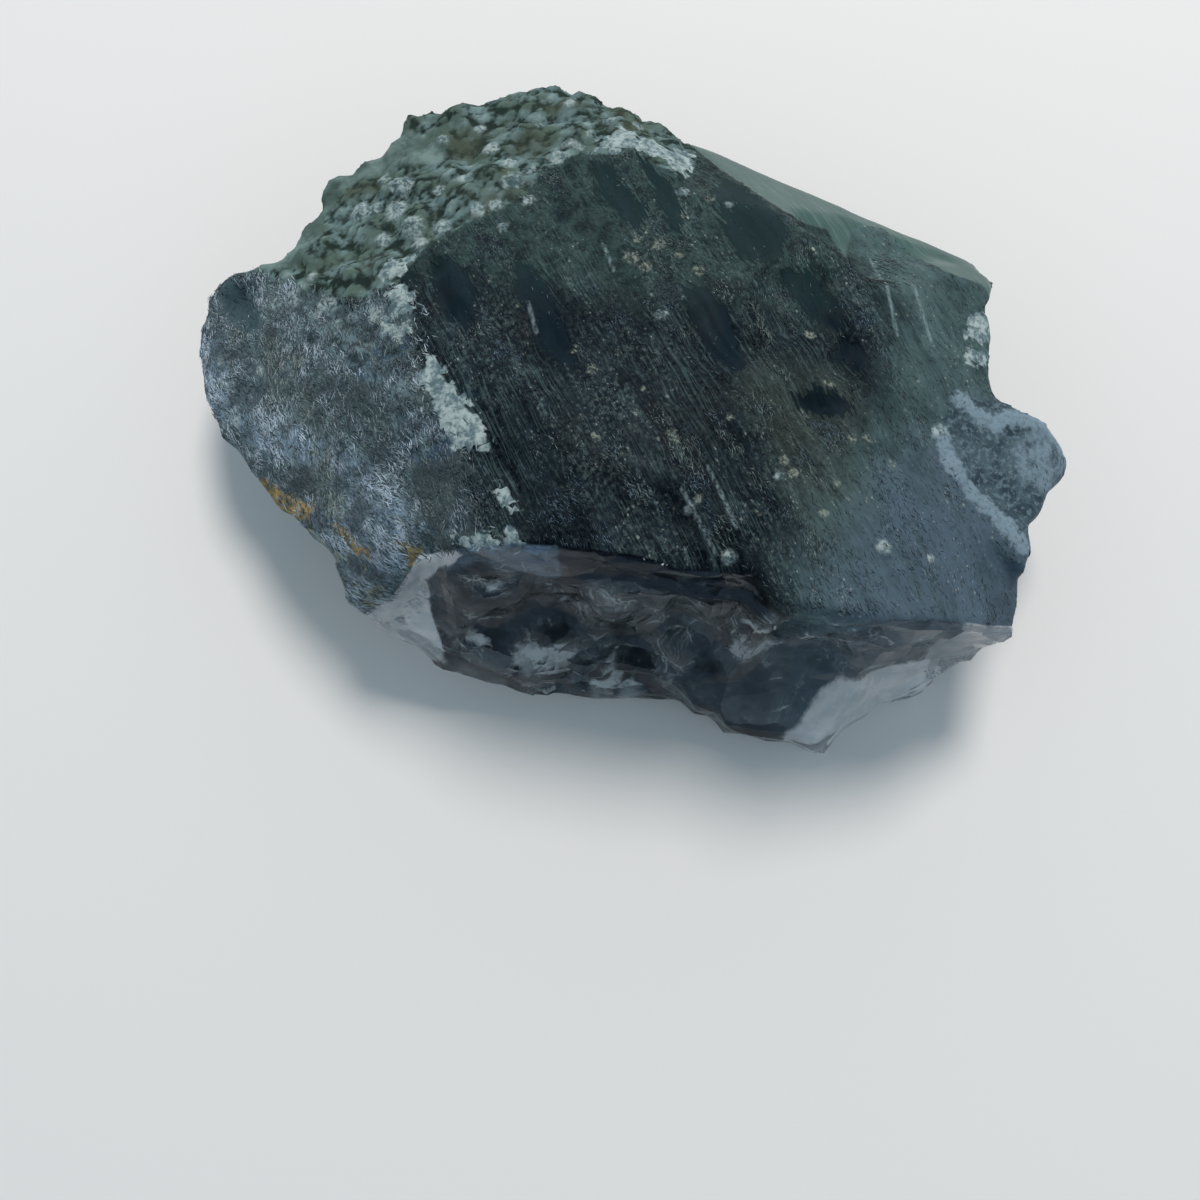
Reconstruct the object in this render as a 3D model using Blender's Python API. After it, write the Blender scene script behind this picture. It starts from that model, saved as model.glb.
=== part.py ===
"""Riebeckite quartz crystal: one broken piece of smoky quartz, full of riebeckite fibres.

The stone rests on a flat broken face at z = 0. +X runs along its longest side, and +Y points to its
granular crust. Lengths below are in millimetres, and MM turns them into the scene's metres.
"""

from math import cos, radians, sin

import bmesh
import bpy
from mathutils import Matrix, Vector, noise
from mathutils.geometry import intersect_point_line

MM = 0.001

BLOCK_TOP = 24.0
BLOCK_BOTTOM = -1.5  # cut off flat at z = 0 when the surface is done
GRAIN = 0.4  # spacing of the points while the surface is roughened
TRIANGLES = 8800
STONE_COLOUR = (0.045, 0.060, 0.065, 1.0)

# The stone's outline seen from above, clockwise from its west lobe.
WEST_LOBE = [(-30.4, 5.6), (-29.8, 7.3), (-28.9, 8.4), (-27.6, 9.1), (-25.9, 9.0), (-24.4, 9.2)]
NORTHWEST_WALL = [(-23.2, 11.5), (-22.3, 13.0), (-21.7, 15.0), (-21.0, 16.4), (-19.2, 17.6), (-16.9, 18.5)]
NORTH_CRUST = [
    (-16.2, 20.4), (-15.8, 21.8), (-14.4, 22.5), (-12.8, 21.5), (-11.2, 22.4), (-9.7, 23.2),
    (-8.1, 24.0), (-6.1, 24.5), (-3.3, 24.0), (-0.2, 23.1), (1.3, 22.3), (1.9, 20.9),
]
CRYSTAL_FACE_TOE = [(5.7, 20.2), (25.3, 10.5), (26.3, 9.4)]
EAST_SIDE = [(25.8, 7.7), (24.8, 5.5), (25.0, 3.7), (24.5, 0.5), (25.0, -2.0), (24.4, -4.0), (24.6, -9.0)]
SOUTHEAST_END = [(25.6, -13.0), (26.1, -14.2), (25.7, -15.4), (25.2, -16.8), (24.2, -18.4), (22.5, -20.1)]
SOUTH_TOE = [
    (19.3, -20.6), (9.0, -22.2), (6.2, -21.6), (1.8, -21.0), (-1.5, -20.8), (-5.8, -21.5), (-9.3, -20.5),
]
SOUTHWEST_RIM = [
    (-12.6, -20.1), (-15.3, -19.4), (-17.8, -17.5), (-18.9, -16.0), (-18.7, -14.2), (-19.3, -11.9),
    (-21.1, -10.2), (-23.4, -8.5), (-24.6, -6.8), (-26.6, -4.2), (-27.8, -3.1), (-29.3, -0.2),
    (-30.3, 3.4),
]
STONE_OUTLINE = (
    WEST_LOBE + NORTHWEST_WALL + NORTH_CRUST + CRYSTAL_FACE_TOE
    + EAST_SIDE + SOUTHEAST_END + SOUTH_TOE + SOUTHWEST_RIM
)

CHIP_OUTLINE = [
    (20.2, -4.4), (22.0, -1.6), (25.2, -1.8), (26.6, -2.4), (28.0, -3.2), (28.9, -4.0), (30.1, -5.3),
    (28.9, -6.9), (27.7, -8.0), (27.3, -9.2), (26.2, -10.3), (26.1, -12.2), (25.6, -13.6), (23.4, -11.6),
    (21.4, -8.2),
]
CLEAR_LIP_OUTLINE = [
    (3.0, -19.5), (4.8, -21.5), (6.4, -22.1), (7.2, -22.9), (9.9, -23.4), (12.6, -23.9), (13.7, -24.6),
    (14.4, -23.5), (15.6, -22.4), (17.8, -20.9), (21.4, -20.0), (22.6, -19.0), (14.0, -15.0), (6.0, -16.0),
]

# Each broken face: a point on it, its steepness in degrees, and the bearing that it falls towards,
# counted clockwise from +Y. A face steeper than 90 degrees looks down at the table.
STONE_FACES = {
    "crown": ((0.0, -7.5, 17.3), 14.5, 0),
    "crown_brow": ((0.0, -7.0, 17.05), 5, 10),
    "crown_south": ((2.0, -10.0, 17.1), 4, 185),
    "crown_east": ((4.0, -8.0, 16.9), 10, 55),
    "east_slope": ((7.0, -8.0, 16.4), 17.5, 70),
    "crown_west": ((-8.0, -4.0, 16.0), 13, 290),
    "west_slope": ((-13.0, -1.0, 14.8), 22, 276),
    "west_slope_low": ((-14.0, -4.5, 14.5), 26, 254),
    "southwest_slope": ((-14.5, -9.5, 13.9), 32, 234),
    "rusty_slope": ((-15.5, -12.5, 12.2), 44, 222),
    "northwest_slope": ((-13.0, 6.0, 13.5), 24, 320),
    "north_slope": ((-3.0, 15.5, 11.3), 23, 355),
    "crystal_face": ((15.8, 15.3, 6.0), 44.5, 26.2),
    "east_shoulder": ((23.4, 0.0, 10.6), 35, 90),
    "southeast_shoulder": ((24.0, -16.0, 11.2), 42, 115),
    "south_break": ((14.0, -17.3, 15.5), 75, 181),
    "flank_west": ((-29.6, 3.0, 6.6), 122, 276),
    "flank_northwest": ((-21.6, 16.6, 6.2), 120, 318),
    "flank_north": ((-5.0, 24.0, 6.4), 118, 2),
    "flank_northeast": ((15.8, 15.3, 5.4), 126, 26.2),
    "flank_east": ((25.2, 0.0, 6.8), 118, 92),
    "flank_southeast": ((24.6, -17.6, 4.2), 122, 128),
    "flank_southwest": ((-24.0, -7.6, 6.8), 122, 230),
    "flank_pale": ((-17.0, -18.1, 4.4), 126, 216),
    "under_west": ((-27.0, 3.0, 2.6), 152, 270),
    "under_northwest": ((-19.5, 14.0, 2.6), 149, 322),
    "under_north": ((-5.0, 21.6, 2.2), 150, 355),
    "under_northeast": ((14.7, 13.2, 2.0), 151, 34),
    "under_east": ((23.0, 0.0, 2.4), 150, 97),
    "under_southwest": ((-21.2, -5.0, 1.9), 152, 224),
    "under_south": ((0.0, -20.8, 1.4), 152, 182),
}
CHIP_FACES = {
    "chip_top": ((22.0, -6.0, 11.3), 13, 80),
    "chip_rim": ((28.4, -5.0, 9.4), 36, 88),
    "flank_chip": ((29.4, -5.0, 6.0), 125, 98),
    "under_chip": ((26.0, -5.0, 3.2), 150, 80),
    "chip_heel": ((26.6, -12.6, 6.5), 112, 150),
}
CLEAR_LIP_FACES = {
    "lip_top": ((12.0, -19.5, 6.4), 41, 184),
    "lip_end": ((20.6, -20.0, 3.0), 58, 118),
    "under_lip": ((12.0, -22.4, 0.0), 168, 180),
    "under_lip_end": ((20.6, -19.0, 0.0), 150, 130),
}
# West of the step in its south ridge, the stone is broken back to the outermost of these faces.
RIDGE_STEP = {
    "west_brow": ((-5.0, -13.5, 16.6), 77, 190),
    "west_break": ((-9.0, -14.6, 12.4), 60, 185),
    "middle_break": ((0.0, -14.0, 16.8), 66, 191),
    "step_wall": ((8.6, -16.2, 16.5), 70, 233),
}
# So it is to a pale facet at its southwest end.
PALE_CORNER = {
    "pale_facet": ((-12.6, -20.0, 3.0), 55, 190),
    "pale_end": ((-11.3, -17.4, 7.0), 80, 253),
}
# So it is, too, to a smooth window between the east end of the crust and the crystal face.
WINDOW_CORNER = {
    "window": ((10.6, 12.2, 11.3), 37, 13),
    "crust_end": ((3.8, 18.0, 8.5), 60, 60),
}

# Each scoop: the point at its middle, the steepness and bearing of the face that it is in,
# its width and depth, and how many times longer than wide it is, level along that face.
SCOOPS = {
    "great_scallop": ((-6.8, -17.2, 9.4), 62, 170, 9.6, 2.0, 1.1),
    "middle_scallop": ((3.4, -17.9, 9.4), 62, 190, 9.6, 1.9, 1.2),
    "low_scallop_west": ((-4.2, -20.2, 3.4), 60, 175, 4.4, 0.9, 1.2),
    "low_scallop_east": ((0.6, -20.0, 3.6), 60, 190, 3.6, 0.8, 1.0),
    "east_scallop": ((13.2, -18.4, 9.8), 72, 190, 7.6, 1.1, 1.2),
    "far_east_scallop": ((20.6, -18.4, 6.5), 72, 172, 6.5, 0.7, 1.1),
    "ridge_undercut": ((0.6, -15.0, 14.4), 64, 182, 2.2, 0.7, 5.0),
    "black_lens": ((6.6, -16.0, 14.9), 61, 195, 3.6, 0.85, 1.5),
    "lip_notch": ((18.0, -21.4, 3.6), 55, 165, 3.4, 0.8, 1.3),
    "dark_scoop": ((12.4, 2.0, 13.8), 16, 50, 8.8, 1.1, 1.1),
    "dark_scoop_west": ((6.6, 1.4, 15.0), 14, 310, 4.4, 0.4, 1.3),
    "lens_pit": ((12.4, -3.6, 14.3), 16, 160, 2.2, 0.8, 1.8),
    "face_break": ((17.4, 9.7, 10.3), 38, 28, 12.0, 1.4, 1.0),
    "west_pit": ((-27.0, 6.2, 8.6), 26, 300, 3.0, 0.8, 1.2),
    "crust_hollow": ((-11.0, 16.4, 11.0), 24, 340, 3.4, 0.9, 1.1),
    "crust_hollow_small": ((-19.6, 15.6, 9.0), 25, 320, 1.8, 0.6, 1.2),
    "north_window": ((0.6, 11.6, 12.9), 13, 10, 3.4, 0.4, 1.0),
    "middle_window": ((-5.6, 2.6, 14.9), 12, 250, 3.2, 0.35, 1.8),
    "west_window": ((-11.2, 4.2, 14.5), 14, 250, 2.6, 0.35, 1.7),
    "west_flank_scoop": ((-26.6, 1.5, 2.6), 138, 268, 7.0, 0.9, 1.6),
    "northwest_flank_scoop": ((-20.6, 14.4, 4.2), 132, 318, 5.0, 0.8, 1.3),
    "north_flank_scoop": ((-8.0, 22.4, 4.0), 130, 350, 6.0, 0.9, 1.5),
    "east_flank_scoop": ((24.2, 5.4, 4.6), 118, 90, 4.6, 0.7, 1.2),
    "southwest_flank_scoop": ((-21.6, -7.2, 3.6), 134, 230, 5.6, 0.9, 1.4),
    "under_scoop_north": ((0.0, 18.4, 0.8), 155, 10, 6.0, 0.8, 1.6),
}

# The crust lies to the northwest of this ledge, and the felted fibres to the west of this seam.
CRUST_LEDGE = [
    (-27.0, 9.0), (-22.5, 6.5), (-17.5, 3.6), (-14.6, 4.6), (-12.6, 8.6), (-9.8, 11.4), (-7.0, 14.2),
    (-4.0, 15.6), (1.2, 16.2), (4.0, 17.2), (4.6, 22.0), (0.0, 34.0), (-30.0, 34.0), (-34.0, 12.0),
]
FELTED_SEAM = [
    (-14.6, 4.6), (-11.4, -1.2), (-8.6, -6.4), (-11.0, -13.4), (-16.5, -15.5), (-22.0, -18.0),
    (-36.0, -10.0), (-36.0, 12.0), (-27.0, 9.0), (-22.5, 6.5), (-17.5, 3.6),
]
# How far the surface stands out, and how wide its bumps are.
CRUST_PROUD = 0.35
CRUST_LUMP = 0.8
CRUST_LUMP_WIDTH = 2.9
FIBRE_RIDGE = 0.16
FIBRE_BEARING = 150
FIBRE_LENGTH = 5.0
FIBRE_WIDTH = 1.1
BREAK_ROUGHNESS = 0.22
BREAK_WIDTH = 2.6
TOP_ROUGHNESS = 0.16
TOP_WIDTH = 3.2
CRYSTAL_POLISH = 0.9  # how much of the roughness a natural crystal face lacks
RIM_JAG = 0.35
RIM_JAG_WIDTH = 1.7
SCOOP_WAVER = 0.9  # how unevenly a scoop is broken out, as a share of its depth
SCOOP_WAVER_WIDTH = 0.3  # as a share of the scoop's width
REST_POINT = (0.0, 0.0, 0.0)


def facing(steepness, bearing):
    """The direction that a face of this steepness and bearing looks in."""
    level = sin(radians(steepness))
    return Vector((level * sin(radians(bearing)), level * cos(radians(bearing)), cos(radians(steepness))))


def trim(bm, point, outward):
    """Cuts off what lies outside a plane, and closes the cut with a flat face."""
    everything = bm.verts[:] + bm.edges[:] + bm.faces[:]
    cut = bmesh.ops.bisect_plane(
        bm, geom=everything, plane_co=point, plane_no=outward, clear_outer=True, dist=1e-7
    )
    rim = [item for item in cut["geom_cut"] if isinstance(item, bmesh.types.BMEdge)]
    if rim:
        bmesh.ops.edgeloop_fill(bm, edges=rim)


def finished(bm, name):
    """Makes an object of a closed bmesh, with its faces pointing out."""
    bmesh.ops.recalc_face_normals(bm, faces=bm.faces)
    mesh = bpy.data.meshes.new(name)
    bm.to_mesh(mesh)
    bm.free()
    obj = bpy.data.objects.new(name, mesh)
    bpy.context.scene.collection.objects.link(obj)
    return obj


def broken_block(name, outline, faces):
    """A block with this outline, broken back to each of the named faces."""
    bm = bmesh.new()
    floor = bm.faces.new([bm.verts.new((x * MM, y * MM, BLOCK_BOTTOM * MM)) for x, y in outline])
    raised = bmesh.ops.extrude_face_region(bm, geom=[floor])["geom"]
    top = [item for item in raised if isinstance(item, bmesh.types.BMVert)]
    bmesh.ops.translate(bm, verts=top, vec=(0, 0, (BLOCK_TOP - BLOCK_BOTTOM) * MM))
    for point, steepness, bearing in faces.values():
        trim(bm, Vector(point) * MM, facing(steepness, bearing))
    return finished(bm, name)


def hidden(cutter):
    cutter.hide_render = True
    cutter.display_type = "WIRE"
    return cutter


def corner_cutter(name, faces):
    """What is taken away outside all the named faces at once."""
    bm = bmesh.new()
    bmesh.ops.create_cube(bm, size=4 * BLOCK_TOP * MM)
    for point, steepness, bearing in faces.values():
        trim(bm, Vector(point) * MM, -facing(steepness, bearing))
    return hidden(finished(bm, name))


def scoop_cutter(name, point, steepness, bearing, width, depth, stretch):
    """A ball, drawn out level along the face, that takes a shallow scoop out of it."""
    radius = (width**2 / 4 + depth**2) / (2 * depth)
    outward = facing(steepness, bearing)
    along = Vector((cos(radians(bearing)), -sin(radians(bearing)), 0))
    turn = Matrix((along, outward.cross(along), outward)).transposed().to_4x4()
    centre = Vector(point) + outward * (radius - depth)
    place = Matrix.Translation(centre * MM) @ turn @ Matrix.Diagonal((stretch, 1, 1, 1))
    bm = bmesh.new()
    bmesh.ops.create_icosphere(bm, subdivisions=5, radius=radius * MM, matrix=place)
    for vert in bm.verts:
        waver = noise.noise(vert.co / (SCOOP_WAVER_WIDTH * width * MM))
        vert.co += outward * SCOOP_WAVER * depth * MM * waver
    return hidden(finished(bm, name))


def combine(obj, other, operation):
    boolean = obj.modifiers.new(f"{operation}_{other.name}", "BOOLEAN")
    boolean.operation = operation
    boolean.solver = "EXACT"
    boolean.object = other


def settle(obj):
    """Puts the shape that the object's modifiers give into its own mesh."""
    graph = bpy.context.evaluated_depsgraph_get()
    mesh = bpy.data.meshes.new_from_object(obj.evaluated_get(graph))
    obj.modifiers.clear()
    obj.data = mesh


def inside(x, y, outline):
    """How far a point is inside an outline, in millimetres: below 0 when it is outside."""
    nearest = 1000.0
    within = False
    for (ax, ay), (bx, by) in zip(outline, outline[1:] + outline[:1]):
        start = Vector((ax, ay, 0))
        end = Vector((bx, by, 0))
        along = intersect_point_line((x, y, 0), start, end)[1]
        here = start.lerp(end, min(max(along, 0), 1))
        nearest = min(nearest, (here - Vector((x, y, 0))).length)
        if (ay > y) != (by > y) and x < ax + (y - ay) / (by - ay) * (bx - ax):
            within = not within
    return nearest if within else -nearest


def share(value, low, high):
    """0 below low, 1 above high, and a smooth rise between them."""
    part = min(max((value - low) / (high - low), 0), 1)
    return part * part * (3 - 2 * part)


def lumps(place, width):
    """Rounded grains of this width, from 0 in the cracks between them to 1 on top."""
    nearest, second = noise.voronoi(place / width)[0][:2]
    return 0.6 * share(second - nearest, 0, 0.6) + 0.4 * (1 - min(nearest / 0.7, 1) ** 2)


def fibres(place):
    """Long low ridges along the fibres."""
    bearing = radians(FIBRE_BEARING)
    along = place.x * sin(bearing) + place.y * cos(bearing)
    across = place.x * cos(bearing) - place.y * sin(bearing)
    return noise.noise(Vector((along / FIBRE_LENGTH, across / FIBRE_WIDTH, place.z / FIBRE_LENGTH)))


def roughness_at(place, outward):
    """How far the surface stands out at a place, in millimetres."""
    upward = share(outward.z, 0.05, 0.5)
    crust = share(inside(place.x, place.y, CRUST_LEDGE), -0.3, 0.5) * share(outward.z, -0.5, 0.1)
    felted = share(inside(place.x, place.y, FELTED_SEAM), -0.8, 0.8) * upward
    crystal = share(outward.dot(facing(*STONE_FACES["crystal_face"][1:])), 0.955, 0.985)
    broken = BREAK_ROUGHNESS * noise.fractal(place / BREAK_WIDTH, 1.0, 2.0, 3)
    low = TOP_ROUGHNESS * noise.fractal(place / TOP_WIDTH, 1.0, 2.0, 3)
    height = broken * (1 - upward) + low * upward
    height += felted * FIBRE_RIDGE * fibres(place)
    swell = CRUST_LUMP * (lumps(place, CRUST_LUMP_WIDTH) - 0.5)
    height += crust * (CRUST_PROUD * upward + swell)
    return height * (1 - CRYSTAL_POLISH * crystal * (1 - crust))


def roughen(obj):
    """Gives each part of the stone its own surface, and its rims their jagged run."""
    bm = bmesh.new()
    bm.from_mesh(obj.data)
    bm.normal_update()
    moves = []
    for vert in bm.verts:
        place = vert.co / MM
        sideways = share(1 - abs(vert.normal.z), 0.5, 0.9)
        jag = sideways * RIM_JAG * noise.noise(place / RIM_JAG_WIDTH)
        moves.append(vert.normal * (roughness_at(place, vert.normal) + jag) * MM)
    for vert, move in zip(bm.verts, moves):
        vert.co += move
    bm.to_mesh(obj.data)
    bm.free()


def stand(obj):
    """Cuts the flat face that the stone rests on, at z = 0."""
    bm = bmesh.new()
    bm.from_mesh(obj.data)
    trim(bm, Vector(REST_POINT), Vector((0, 0, -1)))
    bmesh.ops.triangulate(bm, faces=bm.faces)
    bmesh.ops.recalc_face_normals(bm, faces=bm.faces)
    bm.to_mesh(obj.data)
    bm.free()


def quartz_material():
    material = bpy.data.materials.new("smoky_riebeckite_quartz")
    material.use_nodes = True
    shader = material.node_tree.nodes["Principled BSDF"]
    shader.inputs["Base Color"].default_value = STONE_COLOUR
    shader.inputs["Roughness"].default_value = 0.35
    shader.inputs["Metallic"].default_value = 0.0
    shader.inputs["IOR"].default_value = 1.55
    return material


def build():
    for obj in list(bpy.data.objects):
        bpy.data.objects.remove(obj)
    stone = broken_block("riebeckite_quartz", STONE_OUTLINE, STONE_FACES)
    combine(stone, corner_cutter("ridge_step", RIDGE_STEP), "DIFFERENCE")
    combine(stone, corner_cutter("pale_corner", PALE_CORNER), "DIFFERENCE")
    combine(stone, corner_cutter("window_corner", WINDOW_CORNER), "DIFFERENCE")
    combine(stone, hidden(broken_block("chip_crystal", CHIP_OUTLINE, CHIP_FACES)), "UNION")
    combine(stone, hidden(broken_block("clear_lip", CLEAR_LIP_OUTLINE, CLEAR_LIP_FACES)), "UNION")
    for name, scoop in SCOOPS.items():
        combine(stone, scoop_cutter(name, *scoop), "DIFFERENCE")
    settle(stone)
    remesh = stone.modifiers.new("even_grain", "REMESH")
    remesh.mode = "VOXEL"
    remesh.voxel_size = GRAIN * MM
    settle(stone)
    roughen(stone)
    decimate = stone.modifiers.new("faceted", "DECIMATE")
    decimate.ratio = TRIANGLES / (2 * len(stone.data.polygons))
    settle(stone)
    stand(stone)
    stone.data.materials.clear()
    stone.data.materials.append(quartz_material())


build()
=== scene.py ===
import math

import bmesh
import bpy
import numpy as np
from mathutils import Matrix, Vector, noise


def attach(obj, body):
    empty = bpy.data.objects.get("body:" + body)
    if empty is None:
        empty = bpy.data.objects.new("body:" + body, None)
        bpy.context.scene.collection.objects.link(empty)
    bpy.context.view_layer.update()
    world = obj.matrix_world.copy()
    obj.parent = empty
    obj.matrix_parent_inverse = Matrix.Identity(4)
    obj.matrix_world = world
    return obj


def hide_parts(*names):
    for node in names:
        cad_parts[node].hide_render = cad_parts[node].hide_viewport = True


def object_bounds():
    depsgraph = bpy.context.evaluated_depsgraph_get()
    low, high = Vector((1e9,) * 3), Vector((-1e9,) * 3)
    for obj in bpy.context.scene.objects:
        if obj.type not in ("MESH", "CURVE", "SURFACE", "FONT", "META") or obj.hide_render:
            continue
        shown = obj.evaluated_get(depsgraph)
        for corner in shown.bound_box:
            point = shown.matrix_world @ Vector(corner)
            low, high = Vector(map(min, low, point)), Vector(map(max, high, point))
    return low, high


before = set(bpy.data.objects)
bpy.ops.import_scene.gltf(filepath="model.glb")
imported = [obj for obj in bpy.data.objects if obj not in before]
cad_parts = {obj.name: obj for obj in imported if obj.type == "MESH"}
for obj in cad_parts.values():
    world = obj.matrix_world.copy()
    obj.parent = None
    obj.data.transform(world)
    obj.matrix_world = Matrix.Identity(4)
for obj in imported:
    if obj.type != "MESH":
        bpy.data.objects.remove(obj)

mm = 0.001
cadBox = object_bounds()
nodeName = "riebeckite_quartz"


# Small helpers for meshes.

def linked(name, data):
    obj = bpy.data.objects.new(name, data)
    bpy.context.scene.collection.objects.link(obj)
    return obj


def fromBmesh(bm, name):
    mesh = bpy.data.meshes.new(name)
    bm.to_mesh(mesh)
    bm.free()
    return linked(name, mesh)


def applyAll(obj):
    # puts what the modifiers give into the object's own mesh
    graph = bpy.context.evaluated_depsgraph_get()
    mesh = bpy.data.meshes.new_from_object(obj.evaluated_get(graph))
    obj.modifiers.clear()
    obj.data = mesh


def voxelled(obj, voxel):
    remesh = obj.modifiers.new("evenSkin", "REMESH")
    remesh.mode = "VOXEL"
    remesh.voxel_size = voxel * mm
    applyAll(obj)


def combined(obj, other, operation):
    boolean = obj.modifiers.new(operation, "BOOLEAN")
    boolean.operation = operation
    boolean.solver = "EXACT"
    boolean.object = other
    applyAll(obj)


def vectorsOf(items, name):
    flat = np.empty(len(items) * 3, np.float32)
    items.foreach_get(name, flat)
    return flat.reshape(-1, 3).astype(float)


def points(obj):
    return vectorsOf(obj.data.vertices, "co")


def normals(obj):
    return vectorsOf(obj.data.vertex_normals, "vector")


def putPoints(obj, places):
    obj.data.vertices.foreach_set("co", places.astype(np.float32).ravel())
    obj.data.update()


def setPoints(obj, places):
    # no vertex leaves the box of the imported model
    putPoints(obj, np.clip(places, np.array(cadBox[0]), np.array(cadBox[1])))


def step(values, low, high):
    part = np.clip((values - low) / (high - low), 0, 1)
    return part * part * (3 - 2 * part)


def nearest(x, y, pieces):
    # the distance to the nearest of some straight pieces of line
    found = np.full(len(x), 1e9)
    for (ax, ay), (bx, by) in pieces:
        dx, dy = bx - ax, by - ay
        along = np.clip(((x - ax) * dx + (y - ay) * dy) / (dx * dx + dy * dy), 0, 1)
        found = np.minimum(found, np.hypot(x - ax - along * dx, y - ay - along * dy))
    return found


def nearLine(places, line):
    # the distance to a line of points seen from above, in mm
    return nearest(*places[:, :2].T / mm, zip(line, line[1:]))


def insideBy(places, outline):
    # how far each point is inside an outline seen from above, in mm, and below 0 outside it
    x, y = places[:, :2].T / mm
    pieces = list(zip(outline, outline[1:] + outline[:1]))
    within = np.zeros(len(x), bool)
    for (ax, ay), (bx, by) in pieces:
        if by != ay:
            within ^= ((ay > y) != (by > y)) & (x < ax + (y - ay) / (by - ay) * (bx - ax))
    edge = nearest(x, y, pieces)
    return np.where(within, edge, -edge)


def noiseAt(places, width, octaves=1):
    return np.array([noise.fractal(Vector(p) / (width * mm), 1.0, 2.0, octaves) for p in places])


def setAttribute(obj, name, values):
    attribute = obj.data.attributes.new(name, "FLOAT", "POINT")
    attribute.data.foreach_set("value", values.astype(np.float32))


# The camera looks down on the stone from just south of it, as in the photo.
cameraLook = {
    "place": (0.0, -0.03, 0.0795),
    "pitch": 11.95,
    "roll": 1.26,
    "lens": 33.0,
    "sensor": 36.0,
    "clipStart": 0.001,
}


def makeCamera():
    camera = bpy.data.cameras.new("camera")
    camera.lens = cameraLook["lens"]
    camera.sensor_width = cameraLook["sensor"]
    camera.clip_start = cameraLook["clipStart"]
    obj = linked("camera", camera)
    pitch = Matrix.Rotation(math.radians(cameraLook["pitch"]), 4, "X")
    roll = Matrix.Rotation(math.radians(cameraLook["roll"]), 4, "Y")
    obj.matrix_world = Matrix.Translation(cameraLook["place"]) @ pitch @ roll
    bpy.context.scene.camera = obj


# One soft light from behind the stone, in a room that is pale low down and dark overhead.
lighting = {
    "softboxEnergy": 1.7,
    "softboxSize": 0.17,
    "softboxDistance": 0.5,
    "softboxHeight": 56,  # degrees above the floor
    "softboxBearing": 13,
    "softboxColour": (1.0, 0.934, 0.883),
    "roomHigh": (0.14, 0.2, 0.23),
    "roomLow": (0.77, 0.87, 0.95),
    "roomSouth": (0.47, 0.59, 0.69),  # the side that the camera stands on is dimmer
    "roomDarkFromTo": (0.22, 0.86),  # the heights, as sines, between which the pale walls darken
    "southFromTo": (-0.2, -0.85),
    "southShare": 0.75,
    "roomStrength": 1.0,
    "floorSize": 1.2,
    "floorGap": 0.03,
    "floorColour": (0.88, 0.865, 0.855),
    "floorRoughness": 0.9,
    "floorSpecular": 0.2,
}


def makeLights():
    lamp = bpy.data.lights.new("softbox", "AREA")
    lamp.shape = "DISK"
    lamp.size = lighting["softboxSize"]
    lamp.energy = lighting["softboxEnergy"]
    lamp.color = lighting["softboxColour"]
    obj = linked("softbox", lamp)
    height = math.radians(lighting["softboxHeight"])
    bearing = math.radians(lighting["softboxBearing"])
    level = math.cos(height)
    toLamp = Vector((level * math.sin(bearing), level * math.cos(bearing), math.sin(height)))
    obj.location = toLamp * lighting["softboxDistance"]
    obj.rotation_euler = toLamp.to_track_quat("Z", "Y").to_euler()


def makeRoom():
    world = bpy.data.worlds.new("room")
    bpy.context.scene.world = world
    world.use_nodes = True
    tree = world.node_tree
    background = tree.nodes["Background"]
    background.inputs["Strength"].default_value = lighting["roomStrength"]
    direction = addNode(tree, "TexCoord").outputs["Generated"]
    parts = addNode(tree, "SeparateXYZ", {0: direction}).outputs
    height = ranged(tree, parts["Z"], *lighting["roomDarkFromTo"])
    south = ranged(tree, parts["Y"], *lighting["southFromTo"], 0.0, lighting["southShare"])
    walls = mixed(tree, south, lighting["roomLow"], lighting["roomSouth"])
    feed(tree, background.inputs["Color"], mixed(tree, height, walls, lighting["roomHigh"]))


def makeFloor():
    bm = bmesh.new()
    place = Matrix.Translation((0, 0, -lighting["floorGap"] * mm))
    bmesh.ops.create_grid(bm, x_segments=1, y_segments=1, size=lighting["floorSize"] / 2, matrix=place)
    floor = fromBmesh(bm, "floor")
    material, _, shader = newMaterial("matteFloor")
    shader.inputs["Base Color"].default_value = (*lighting["floorColour"], 1)
    shader.inputs["Roughness"].default_value = lighting["floorRoughness"]
    shader.inputs["Specular IOR Level"].default_value = lighting["floorSpecular"]
    floor.data.materials.append(material)


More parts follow.
